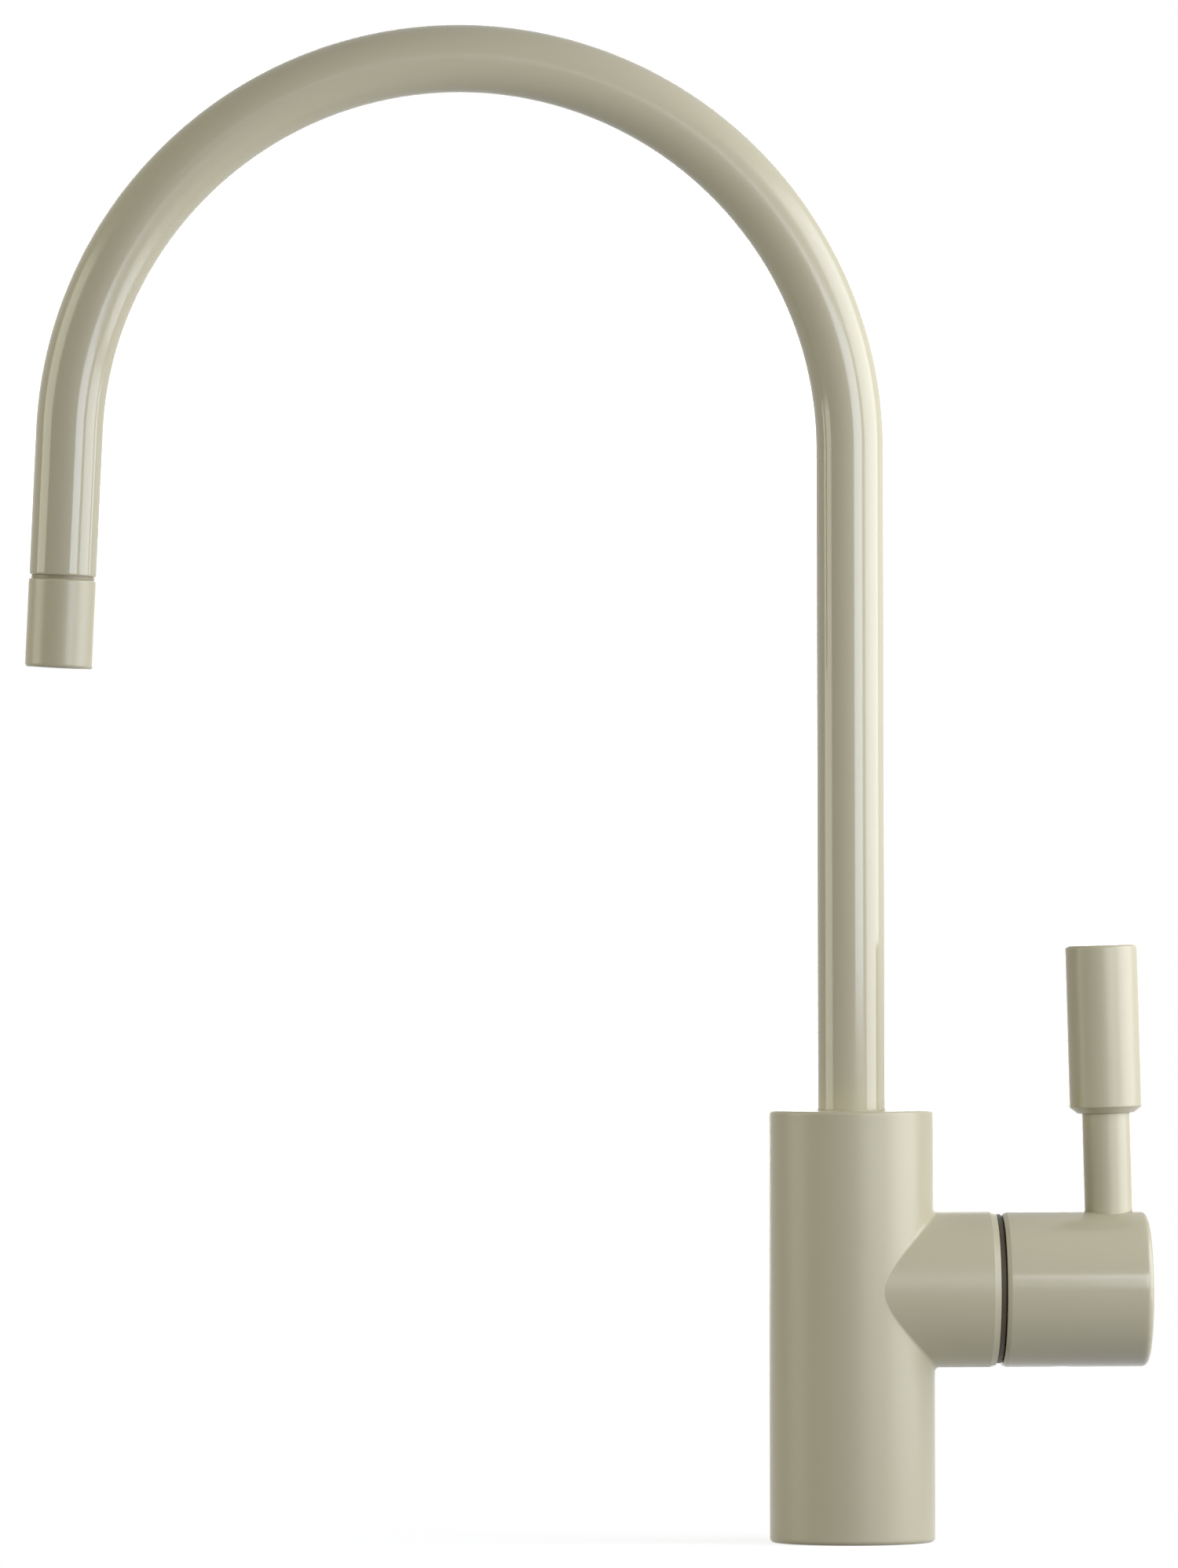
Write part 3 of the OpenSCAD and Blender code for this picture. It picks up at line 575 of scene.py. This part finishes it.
@dataclass(frozen=True)
class TapBody:
    """The body: an upright barrel with a side branch, blended where they meet, and its fixed rings."""

    radius: float
    height: float
    branch_radius: float
    branch_reach: float
    foot_rounding: float = 0.8
    rim_rounding: float = 0.6
    branch_bevel: Pair = (1.2, 0.35)
    blend_radius: float = 0.8
    edge: float = 0.15
    split_height: float = 67.0
    bush_radius: float = 9.03
    bush_seat: float = 76.4
    foot_bore: float = 8.05
    foot_floor: float = 58.85
    groove_radii: Pair = (9.47, 12.53)
    groove_depth: float = 2.06
    thread_radii: Pair = (5.5, 6.0)
    thread_pitch: float = 1.0
    socket_depth: float = 13.0
    washer_radius: float = 5.03
    washer_top: float = 15.03
    way_radius: float = 2.5
    way_top: float = 36.0
    flange_radius: float = 11.03
    flange_depth: float = 3.83
    thread_bore: Pair = (9.03, 17.0)
    chamber: Pair = (8.0, 4.3)
    screw_height: float = 73.35
    screw_bore: float = 2.03
    screw_floor: float = 8.15
    bush_slack: float = 0.05
    bush_rounding: float = 0.25
    gasket_slack: float = 0.03
    gasket_rounding: float = 0.4
    ring_bore: float = 11.5

    @classmethod
    def from_frame(cls) -> TapBody:
        """Take the main sizes from the frame.

        Returns:
            The body.
        """
        low, high = box_mm("body")
        hub_low, hub_high = box_mm("handle_hub")
        return cls(min(high[1], -low[1]), high[2], (hub_high[2] - hub_low[2]) / 2, high[0])

    def blend(self, turns: Array) -> tuple[Array, Array, Array]:
        """Path of a ball that rolls round the corner, touching both the barrel and the branch.

        Its centre lies one ball radius outside both round walls: on the branch's circle grown by the
        ball, at the distance from the barrel's axis that the grown barrel has there.

        Args:
            turns: Angles round the branch.

        Returns:
            The ball's centres, and where it touches the barrel and the branch.
        """
        ball = self.blend_radius
        grown = self.branch_radius + ball
        y = -grown * np.sin(turns)
        rise = grown * np.cos(turns)
        x = np.sqrt((self.radius + ball) ** 2 - y**2)
        z = VALVE.origin[2]
        onto_barrel = self.radius / (self.radius + ball)
        onto_branch = self.branch_radius / grown
        centre = np.stack([x, y, z + rise], axis=-1)
        barrel = np.stack([x * onto_barrel, y * onto_barrel, z + rise], axis=-1)
        branch = np.stack([x, y * onto_branch, z + rise * onto_branch], axis=-1)
        return centre, barrel, branch

    def branch_mouth(self, way: Array) -> tuple[Array, Array]:
        """Where the blend meets the barrel: turn and place on the barrel, for ways round the branch."""
        barrel = self.blend(way - np.pi / 2)[1]
        return np.arctan2(barrel[..., 1], barrel[..., 0]), barrel[..., 2]

    def branch_grids(self, turns: Array) -> list[Array]:
        """Blend, branch wall, and the stepped socket in the branch's end.

        The blend is the shorter arc on the ball between its two touching points. The wall runs
        straight from there to the rim.

        Args:
            turns: Angles round the branch.

        Returns:
            Grids of points.
        """
        centre, barrel, branch = self.blend(turns)
        first, last = barrel - centre, branch - centre
        cosine = (first * last).sum(-1, keepdims=True) / self.blend_radius**2
        sweep = np.arccos(np.clip(cosine, -1, 1))
        share = np.linspace(0, 1, ARC + 1)[:, None, None]
        arc = (np.sin((1 - share) * sweep) * first + np.sin(share * sweep) * last) / np.sin(sweep)
        start = branch[:, 0]
        bevel, depth = self.branch_bevel
        stop = self.branch_reach - bevel - self.edge * (1 + SUPPORT)
        run = start + np.linspace(0, 1, BRANCH_STEPS + 1)[:, None] * (stop - start)
        flange = self.branch_reach - self.flange_depth
        end = [
            (stop, self.branch_radius, 0),
            (self.branch_reach - bevel, self.branch_radius, self.edge),
            (self.branch_reach, self.branch_radius - depth, self.edge),
            (self.branch_reach, self.flange_radius, self.edge),
            (flange, self.flange_radius, self.edge),
            (flange, self.thread_bore[0], self.edge),
            (self.thread_bore[1], self.thread_bore[0], 0),
            (self.thread_bore[1], self.chamber[0], 0),
            (self.chamber[1], self.chamber[0], 0),
            (self.chamber[1], 0, 0),
        ]
        return [centre + arc, VALVE.points(run, self.branch_radius, turns), turned(VALVE, end, turns)]

    def outlines(self) -> list[list[Triple]]:
        """The top with its sockets, the underside in to the thread, and from the thread to the waterway.

        Returns:
            Corners of the three outlines.
        """
        inner, outer = self.groove_radii
        core = self.thread_radii[0]
        top = [
            (self.height - self.rim_rounding * (1 + SUPPORT), self.radius, 0),
            (self.height, self.radius, self.rim_rounding),
            (self.height, self.bush_radius, self.edge),
            (self.bush_seat, self.bush_radius, 0),
            (self.bush_seat, self.foot_bore, self.edge),
            (self.foot_floor, self.foot_bore, 0),
            (self.foot_floor, 0, 0),
        ]
        foot = [
            (self.foot_rounding * (1 + SUPPORT), self.radius, 0),
            (0, self.radius, self.foot_rounding),
            (0, outer, self.edge),
            (self.groove_depth, outer, self.edge),
            (self.groove_depth, inner, self.edge),
            (0, inner, self.edge),
            (0, core + self.thread_pitch / 2, self.edge / 3),
            (self.thread_pitch / 2, core, 0),
        ]
        inside = [
            (self.socket_depth - self.thread_pitch / 2, core, 0),
            (self.socket_depth, core, self.edge),
            (self.socket_depth, self.washer_radius, self.edge),
            (self.washer_top, self.washer_radius, 0),
            (self.washer_top, self.way_radius, self.edge),
            (self.way_top, self.way_radius, 0),
            (self.way_top, 0, 0),
        ]
        return [top, foot, inside]

    def build(self) -> Object:
        """Join the barrel's two walls, the branch, the sockets and the screw hole.

        Returns:
            The body's object.
        """
        turns = full_turn()
        lower = (self.foot_rounding * (1 + SUPPORT), self.split_height)
        upper = (self.split_height, self.height - self.rim_rounding * (1 + SUPPORT))
        wall, way = holed_wall(UPRIGHT, self.radius, lower, 0.0, VALVE.origin[2], self.branch_mouth)
        grids = [wall, *self.branch_grids(way - np.pi / 2)]
        steps = ((self.screw_bore, self.screw_floor), (0.0, self.screw_floor))
        hole = RoundHole(
            UPRIGHT, self.radius, self.screw_height, np.pi / 2, self.screw_bore, self.edge, steps
        )
        wall, way = holed_wall(UPRIGHT, self.radius, upper, hole.turn, hole.place, hole.mouth)
        grids += [wall, hole.lining(way)]
        grids += [turned(UPRIGHT, corners, turns) for corners in self.outlines()]
        span = (self.thread_pitch / 2, self.socket_depth - self.thread_pitch / 2)
        grids.append(threaded(UPRIGHT, span, self.thread_radii, self.thread_pitch, turns))
        return joined("body_casting", grids)

    def assemble(self) -> None:
        """Build and dress the body, and its bush, base gasket and glide ring, which are plain rings."""
        dress(self.build(), Slot.ENAMEL, Part.FIXED, "body")
        guide = box_mm("spout_tube")[1][0] + self.bush_slack
        groove = self.groove_radii[0] + self.gasket_slack
        rings = (
            ("bearing_bush", "spout_bush", UPRIGHT, Slot.IVORY, guide, self.bush_rounding),
            ("foot_gasket", "base_gasket", UPRIGHT, Slot.RUBBER, groove, self.gasket_rounding),
            # The seam ring's brown-olive tone is partly painted shade of the gap it sits in
            ("seam_ring", "glide_ring", VALVE, Slot.BLACK, self.ring_bore, self.edge),
        )
        for name, node, axis, slot, bore, rounding in rings:
            low, high = box_mm(node)
            along = axis.along.index(1)
            start, stop, outer = low[along], high[along], high[1]
            corners = [(start, bore), (start, outer), (stop, outer), (stop, bore)]
            grid = turned(axis, [(*corner, rounding) for corner in corners], full_turn(), ring=True)
            dress(joined(name, [grid]), slot, Part.FIXED, node)


@dataclass(frozen=True)
class Gooseneck:
    """The spout: a tube bent over in one round bend, with a sleeve at its outlet."""

    radius: float
    bend_radius: float = 72.6
    bend_height: float = 203.5
    bend_angle: float = 177.2
    start_height: float = 70.35
    leg: float = 27.0
    wall: float = 1.0
    end_rounding: float = 0.4
    gap: float = 0.6
    sleeve_length: float = 16.5
    sleeve_rounding: float = 0.5
    tip_rounding: float = 0.6
    sleeve_bore: float = 5.05
    mouth_radius: float = 4.3
    lip: float = 1.2
    edge: float = 0.15
    bend_draw: float = 0.03
    around: int = 96
    bend_rows: int = 180

    @classmethod
    def from_frame(cls) -> Gooseneck:
        """Take the tube's radius from the frame."""
        return cls(box_mm("spout_tube")[1][0])

    def rise(self) -> float:
        """Length of the straight riser."""
        return self.bend_height - self.start_height

    def line(self, place: Array) -> tuple[Array, Array]:
        """Middle line of the tube: straight up, round the bend, and straight on down.

        The angle turned is the distance past the bend's start over its radius, held between nothing and
        the whole bend. What is left of the distance before or after the bend runs along the tangent.

        Args:
            place: Distance along the line from the tube's foot.

        Returns:
            Points of the line, and the direction there that points away from the bend's middle.
        """
        sweep = np.radians(self.bend_angle)
        past = place - self.rise()
        angle = np.clip(past / self.bend_radius, 0, sweep)
        spare = past - angle * self.bend_radius
        none = np.zeros_like(angle)
        out = np.stack([np.cos(angle), none, np.sin(angle)], axis=-1)
        tangent = np.stack([-np.sin(angle), none, np.cos(angle)], axis=-1)
        middle = np.array([-self.bend_radius, 0, self.bend_height])
        return middle + self.bend_radius * out + spare[..., None] * tangent, out

    def length(self) -> float:
        """Length of the tube's middle line."""
        return self.rise() + self.bend_radius * np.radians(self.bend_angle) + self.leg

    def outlet(self) -> Axis:
        """Axis of the outlet sleeve, from its end back up the leg.

        Returns:
            The axis.
        """
        end = self.length() + self.gap + self.sleeve_length
        tip, out = self.line(np.array(end))
        up = np.cross((0, 1, 0), out)
        return Axis(tuple(tip), tuple(up), tuple(out))

    def build_tube(self) -> Object:
        """Carry a closed outline of places and radii along the middle line, all round it.

        Each point is the line's point at that place, plus the radius times the cosine of the turn along
        the outward direction and the sine of the turn along Y. Bending draws the wall in by a hair, as
        a half sine along the bend.

        Returns:
            The tube's object.
        """
        length = self.length()
        inside = self.radius - self.wall
        straight = length - self.leg / 4
        bend = np.linspace(self.rise(), length - self.leg, self.bend_rows + 1)
        end = [
            (straight, self.radius, 0),
            (length, self.radius, self.end_rounding),
            (length, inside, self.edge),
            (straight, inside, 0),
        ]
        drawn = self.radius - self.bend_draw * np.sin(np.linspace(0, np.pi, self.bend_rows + 1))
        outer = np.stack([bend, drawn], axis=-1)
        inner = np.stack([bend[::-1], np.full_like(bend, inside)], axis=-1)
        foot = np.array([[0, inside], [0, self.radius]])
        outline = np.concatenate([foot, outer, rounded(end), inner, foot[:1]])
        line, out = self.line(outline[:, 0])
        turns = full_turn(self.around)
        radius = outline[:, 1:2]
        across = (radius * np.cos(turns))[..., None] * out[:, None]
        side = np.multiply.outer(radius * np.sin(turns), (0.0, 1.0, 0.0))
        return joined("gooseneck_tube", [line[:, None] + across + side])

    def build_sleeve(self) -> Object:
        """Turn the outlet sleeve, with its bore and its lip below.

        Returns:
            The sleeve's object.
        """
        corners = [
            (0, self.mouth_radius, self.edge),
            (0, self.radius, self.tip_rounding),
            (self.sleeve_length, self.radius, self.sleeve_rounding),
            (self.sleeve_length, self.sleeve_bore, self.edge),
            (self.lip, self.sleeve_bore, 0),
            (self.lip, self.mouth_radius, self.edge),
        ]
        grid = turned(self.outlet(), corners, full_turn(self.around), ring=True)
        return joined("outlet_sleeve", [grid])

    def assemble(self) -> None:
        """Build and dress the tube and the sleeve."""
        dress(self.build_tube(), Slot.ENAMEL, Part.SPOUT, "spout_tube", TUBE_ENAMEL)
        dress(self.build_sleeve(), Slot.ENAMEL, Part.SPOUT, "outlet_nozzle", LEVER_ENAMEL)


@dataclass(frozen=True)
class Handle:
    """The turning handle: a hub on the branch's line, a stem and a thicker grip."""

    radius: float
    start: float
    end: float
    lever_inset: float = 7.2
    lean: float = np.radians(1.5)
    seam_bevel: Pair = (0.8, 0.3)
    end_rounding: float = 1.3
    edge: float = 0.12
    split_depth: float = 14.3
    hollow_radius: float = 12.0
    hollow_depth: float = 6.7
    square_width: float = 5.44
    square_depth: float = 15.23
    screw_depth: float = 10.95
    screw_bore: float = 2.03
    screw_floor: float = 2.95
    stem_radius: float = 4.5
    stem_length: float = 18.1
    stem_seat: float = 1.5
    thread_radii: Pair = (3.0, 2.5)
    thread_pitch: float = 1.0
    root: float = 6.5
    tenon: float = 12.0
    grip_radius: float = 6.8
    grip_length: float = 31.3
    grip_rounding: float = 0.7
    bevel_width: float = 1.5
    bevel_height: float = 1.2
    fit: float = 0.03
    around: int = 120

    @classmethod
    def from_frame(cls) -> Handle:
        """Take the hub's sizes from the frame."""
        low, high = box_mm("handle_hub")
        return cls((high[2] - low[2]) / 2, low[0], high[0])

    def lever_place(self) -> float:
        """Where the lever's axis meets the hub's top, along the valve."""
        return self.end - self.lever_inset

    def screw_place(self) -> float:
        """Where the clamping screw stands, along the valve."""
        return self.start + self.screw_depth

    def lever(self) -> Axis:
        """The lever's axis, from the hub's top upwards.

        Returns:
            The axis.
        """
        top = (self.lever_place(), 0.0, VALVE.origin[2] + self.radius)
        sine, cosine = np.sin(self.lean), np.cos(self.lean)
        return Axis(top, (-sine, 0, cosine), (cosine, 0, sine))

    def socket(self, turns: Array) -> Array:
        """Square socket in the floor of the hub's hollow end.

        The square is a turned wall whose radius is half its width over the larger of the turn's cosine
        and sine.

        Args:
            turns: Angles round the valve.

        Returns:
            Grid of points.
        """
        square = self.square_width / 2 / np.maximum(np.abs(np.cos(turns)), np.abs(np.sin(turns)))
        hollow = np.full_like(turns, self.hollow_radius)
        depths = np.array([self.hollow_depth, self.hollow_depth, self.square_depth, self.square_depth])
        radii = np.stack([hollow, square, square, np.zeros_like(turns)])
        return VALVE.points(self.start + depths[:, None], radii, turns)

    def build_hub(self) -> Object:
        """Join the hub's two holed walls with its rims, its end and its socket.

        Returns:
            The hub's object.
        """
        turns = full_turn()
        first = self.start + self.seam_bevel[0] * (1 + SUPPORT)
        split = self.start + self.split_depth
        last = self.end - self.end_rounding * (1 + SUPPORT)
        steps = ((self.screw_bore, self.screw_floor), (0.0, self.screw_floor))
        screw = RoundHole(
            VALVE, self.radius, self.screw_place(), np.pi, self.screw_bore, self.edge, steps
        )
        mouth = self.stem_radius + self.fit
        bore = self.thread_radii[0] + self.fit
        seat = self.radius - self.stem_seat
        floor = seat - self.root
        steps = ((mouth, seat), (bore, seat), (bore, floor), (0.0, floor))
        stem = RoundHole(VALVE, self.radius, self.lever_place(), 0.0, mouth, self.edge, steps, self.lean)
        grids = []
        for span, hole in (((first, split), screw), ((split, last), stem)):
            wall, way = holed_wall(VALVE, self.radius, span, hole.turn, hole.place, hole.mouth, HUB_RAYS)
            grids += [wall, hole.lining(way)]
        seam = [
            (first, self.radius, 0),
            (self.start + self.seam_bevel[0], self.radius, self.edge),
            (self.start, self.radius - self.seam_bevel[1], self.edge),
            (self.start, self.hollow_radius, self.edge),
            (self.start + self.hollow_depth, self.hollow_radius, 0),
        ]
        end = [(last, self.radius, 0), (self.end, self.radius, self.end_rounding), (self.end, 0, 0)]
        grids += [turned(VALVE, corners, turns) for corners in (seam, end)]
        return joined("hub_casting", [*grids, self.socket(turns)])

    def build_stem(self) -> Object:
        """Turn the stem between its two threaded ends.

        Returns:
            The stem's object.
        """
        radii = self.thread_radii
        crest, core = radii
        chamfer = crest - core
        foot = -self.stem_seat
        root_end = foot - self.root
        root_start = root_end + chamfer
        top = self.stem_length
        tenon_end = top + self.tenon
        tenon_start = tenon_end - chamfer
        axis = self.lever()
        turns = full_turn(self.around)
        root = [(root_end, 0, 0), (root_end, core, 0), (root_start, crest, 0)]
        shank = [
            (foot, crest, 0),
            (foot, self.stem_radius, self.edge),
            (top, self.stem_radius, self.edge),
            (top, crest, 0),
        ]
        tenon = [(tenon_start, crest, 0), (tenon_end, core, 0), (tenon_end, 0, 0)]
        grids = [
            turned(axis, root, turns),
            threaded(axis, (root_start, foot), radii, self.thread_pitch, turns),
            turned(axis, shank, turns),
            threaded(axis, (top, tenon_start), radii, self.thread_pitch, turns),
            turned(axis, tenon, turns),
        ]
        return joined("lever_stem_rod", grids)

    def build_grip(self) -> Object:
        """Turn the grip, with its blind bore, the bevel round its foot and its rounded top.

        Returns:
            The grip's object.
        """
        bore = self.thread_radii[0] + self.fit
        base = self.stem_length
        floor = base + self.tenon + self.fit
        top = base + self.grip_length
        corners = [
            (floor, 0, 0),
            (floor, bore, 0),
            (base, bore, self.edge),
            (base, self.grip_radius - self.bevel_width, 2 * self.edge),
            (base + self.bevel_height, self.grip_radius, 2 * self.edge),
            (top, self.grip_radius, self.grip_rounding),
            (top, 0, 0),
        ]
        return joined("lever_grip_bar", [turned(self.lever(), corners, full_turn(self.around))])

    def assemble(self) -> None:
        """Build and dress the hub, the stem and the grip."""
        dress(self.build_hub(), Slot.ENAMEL, Part.LEVER, "handle_hub", HUB_ENAMEL)
        dress(self.build_stem(), Slot.ENAMEL, Part.LEVER, "lever_stem", LEVER_ENAMEL)
        dress(self.build_grip(), Slot.ENAMEL, Part.LEVER, "lever_grip", LEVER_ENAMEL)


@dataclass(frozen=True)
class GrubScrew:
    """A headless screw with a hexagon socket, and a dog point or a flat one."""

    name: str
    node: str
    part: Part
    axis: Axis
    tip: float
    shoulder: float
    end: float
    point_radius: float
    radius: float = 2.0
    core: float = 1.65
    pitch: float = 0.7
    key: float = 2.0
    key_depth: float = 2.2
    around: int = 72

    def build(self) -> Object:
        """Turn the point, the threaded shank and the socket.

        The socket is a turned wall whose radius is half the key's width over the cosine of the angle
        to the nearest flat's middle.

        Returns:
            The screw's object.
        """
        turns = full_turn(self.around)
        chamfer = self.radius - self.core
        flat = (turns + np.pi / 6) % (np.pi / 3) - np.pi / 6
        hexagon = self.key / 2 / np.cos(flat)
        point = [
            (self.tip, 0, 0),
            (self.tip, self.point_radius, chamfer / 2),
            (self.shoulder, self.point_radius, 0),
            (self.shoulder, self.core, 0),
            (self.shoulder + chamfer, self.radius, 0),
        ]
        span = (self.shoulder + chamfer, self.end - chamfer)
        floor = self.end - self.key_depth
        places = np.array([self.end - chamfer, self.end, self.end, floor, floor])
        none = np.zeros_like(turns)
        radii = np.stack([none + self.radius, none + self.core, hexagon, hexagon, none])
        grids = [
            turned(self.axis, point, turns),
            threaded(self.axis, span, (self.radius, self.core), self.pitch, turns),
            self.axis.points(places[:, None], radii, turns),
        ]
        return joined(self.name, grids)

    def assemble(self) -> None:
        """Build and dress the screw."""
        dress(self.build(), Slot.STEEL, self.part, self.node)


def grub_screws(body: TapBody, handle: Handle) -> list[GrubScrew]:
    """The spout's retaining screw at the back and the hub's screw below.

    Args:
        body: The tap's body.
        handle: The tap's handle.

    Returns:
        The two screws.
    """
    level = VALVE.origin[2]
    behind = Axis((0, 0, body.screw_height), (0, 1, 0), (1, 0, 0))
    below = Axis((handle.screw_place(), 0, level), (0, 0, -1), (1, 0, 0))
    low, high = box_mm("spout_set_screw")
    retaining = GrubScrew(
        "retaining_grub_screw",
        "spout_set_screw",
        Part.FIXED,
        behind,
        tip=low[1],
        shoulder=8.08,
        end=high[1],
        point_radius=1.2,
    )
    low, high = box_mm("hub_screw")
    tip = level - high[2]
    point_length = 0.4
    clamp = GrubScrew(
        "hub_grub_screw",
        "hub_screw",
        Part.LEVER,
        below,
        tip=tip,
        shoulder=tip + point_length,
        end=level - low[2],
        point_radius=1.5,
    )
    return [retaining, clamp]


@dataclass(frozen=True)
class SoftBox:
    """A soft lamp, placed round the tap by azimuth and elevation. It faces the tap, or lies face up.

    Azimuth 0 is the user's side and 90 the handle's side. Distance, width and height are in metres.
    """

    name: str
    azimuth: float
    elevation: float
    distance: float
    width: float
    height: float
    watts: float
    colour: str = "#ffffff"
    lying: bool = False

    def build(self, target: Vector) -> None:
        """Make the lamp.

        Args:
            target: The point that it faces, in metres.
        """
        azimuth, elevation = np.radians(self.azimuth), np.radians(self.elevation)
        level = np.cos(elevation)
        away = Vector((np.sin(azimuth) * level, -np.cos(azimuth) * level, np.sin(elevation)))
        data = bpy.data.lights.new(self.name, "AREA")
        data.shape = "RECTANGLE"
        data.size = self.width
        data.size_y = self.height
        data.energy = self.watts
        data.color = linear(self.colour)[:3]
        lamp = bpy.data.objects.new(self.name, data)
        lamp.location = target + away * self.distance
        lamp.rotation_mode = "QUATERNION"
        facing = Vector((0, 0, 1)) if self.lying else -away
        lamp.rotation_quaternion = facing.to_track_quat("-Z", "Y")
        lamp.visible_camera = False
        bpy.context.scene.collection.objects.link(lamp)


@dataclass(frozen=True)
class Studio:
    """White surroundings, a pale floor, soft lamps and the camera.

    The floor's paper has a tone for the light that it throws back and one to look at, which a glow
    lifts to white. The tap's shadow on it fades out between two distances.
    """

    azimuth: float = -3.5
    roll: float = 0.15
    distance: float = 2750.0
    aim: Triple = (-48.8, 0.0, 141.2)
    frame_height: float = 291.6
    sensor: float = 36.0
    view_depth: float = 11000.0
    floor_reach: float = 3000.0
    floor_cells: int = 8
    floor_drop: float = 0.05
    paper_tones: tuple[str, str] = ("#909090", "#b4b4b4")
    paper_glow: float = 0.76
    shadow_fade: Pair = (50.0, 150.0)
    fill: float = 0.12
    lamps: tuple[SoftBox, ...] = (
        SoftBox("right_softbox", 76, 17, 0.87, 0.88, 0.76, 8.1, "#edf2ff"),
        SoftBox("low_card", 72, -13.3, 0.6, 0.45, 0.45, 2.3, "#edf2ff", lying=True),
        SoftBox("front_strip_box", 26, 6.1, 0.82, 0.39, 0.285, 1.95, "#edf2ff"),
        SoftBox("left_softbox", -86, 14, 1.6, 0.95, 1.04, 9.0, "#fffdea"),
        SoftBox("front_tube_lamp", 4, 14.0, 1.15, 0.5, 0.04, 0.28),
        SoftBox("back_softbox", 172, 6, 1.5, 1.2, 0.8, 9.0),
    )

    def seen_white(self, tree: NodeTree) -> NodeSocket:
        """Factor that is one where the camera, a reflection or a view through glass looks.

        Args:
            tree: The node tree to add it to.

        Returns:
            The factor's socket.
        """
        path = add_node(tree, "LightPath", {}, {})
        seen = path["Is Camera Ray"]
        for name in ("Is Glossy Ray", "Is Transmission Ray"):
            seen = add_node(tree, "Math", {"operation": "MAXIMUM"}, {0: seen, 1: path[name]})["Value"]
        return seen

    def build_world(self) -> None:
        """White surroundings to look at, and a dimmer even fill for the light on the tap."""
        world = bpy.data.worlds.new("white_surroundings")
        bpy.context.scene.world = world
        tree = empty_tree(world)
        seen = self.seen_white(tree)
        level = add_node(tree, "MapRange", {"To Min": self.fill}, {"Value": seen})["Result"]
        white = {"Color": linear("#ffffff")}
        sky = add_node(tree, "Background", white, {"Strength": level})["Background"]
        add_node(tree, "OutputWorld", {}, {"Surface": sky})

    def floor_material(self) -> Material:
        """Matt white paper that keeps the tap's shadow near it and runs out to plain white.

        Returns:
            The material.
        """
        material = bpy.data.materials.new("white_paper_floor")
        tree = empty_tree(material)
        seen = self.seen_white(tree)
        place = add_node(tree, "TexCoord", {}, {})["Object"]
        reach = add_node(tree, "VectorMath", {"operation": "LENGTH"}, {0: place})["Value"]
        start, stop = self.shadow_fade
        span = {"interpolation_type": "SMOOTHSTEP", "From Min": start * MM, "From Max": stop * MM}
        far = add_node(tree, "MapRange", span, {"Value": reach})["Result"]
        bounced, shown = self.paper_tones
        tones = {"data_type": "RGBA", MIX_FIRST: linear(bounced), MIX_SECOND: linear(shown)}
        shade = add_node(tree, "Mix", tones, {MIX_FACTOR: seen})[MIX_RESULT]
        paper = add_node(tree, "BsdfDiffuse", {}, {"Color": shade})["BSDF"]
        lift = add_node(tree, "MapRange", {"To Max": self.paper_glow}, {"Value": seen})["Result"]
        glow = add_node(tree, "Emission", {}, {"Strength": lift})["Emission"]
        near = add_node(tree, "AddShader", {}, {0: paper, 1: glow})["Shader"]
        white = add_node(tree, "Emission", {}, {})["Emission"]
        fade = add_node(tree, "Math", {"operation": "MULTIPLY"}, {0: far, 1: seen})["Value"]
        mixed = add_node(tree, "MixShader", {}, {0: fade, 1: near, 2: white})["Shader"]
        add_node(tree, "OutputMaterial", {}, {"Surface": mixed})
        return material

    def build_floor(self) -> None:
        """Flat square floor just below the base."""
        span = np.linspace(-self.floor_reach, self.floor_reach, self.floor_cells + 1)
        x, y = np.meshgrid(span, span)
        floor = joined("paper_floor", [np.stack([x, y, np.full_like(x, -self.floor_drop)], axis=-1)])
        floor.data.materials.append(self.floor_material())

    def build_camera(self) -> None:
        """Level camera, far off and a little to the spout's side, framed on the whole tap."""
        data = bpy.data.cameras.new("photo_camera")
        data.sensor_width = self.sensor
        data.lens = self.sensor * self.distance / self.frame_height
        data.clip_end = self.view_depth * MM
        camera = bpy.data.objects.new("photo_camera", data)
        azimuth = np.radians(self.azimuth)
        back = Vector((np.sin(azimuth), -np.cos(azimuth), 0))
        camera.location = Vector(self.aim) * MM + back * self.distance * MM
        camera.rotation_mode = "QUATERNION"
        level = (-back).to_track_quat("-Z", "Y")
        camera.rotation_quaternion = level @ Quaternion((0, 0, 1), -np.radians(self.roll))
        bpy.context.scene.collection.objects.link(camera)
        bpy.context.scene.camera = camera

    def build(self) -> None:
        """Set up the whole studio."""
        bpy.context.scene.view_settings.view_transform = "Standard"
        self.build_world()
        self.build_floor()
        for lamp in self.lamps:
            lamp.build(Vector(self.aim) * MM)
        self.build_camera()


def main() -> None:
    """Build and dress every piece, and set up the studio."""
    logging.basicConfig(level=logging.INFO, format="%(name)s %(message)s")
    dress_nodes()
    body = TapBody.from_frame()
    handle = Handle.from_frame()
    for assembly in (body, Gooseneck.from_frame(), handle, *grub_screws(body, handle)):
        assembly.assemble()
    Studio().build()


if __name__ == "__main__":
    main()
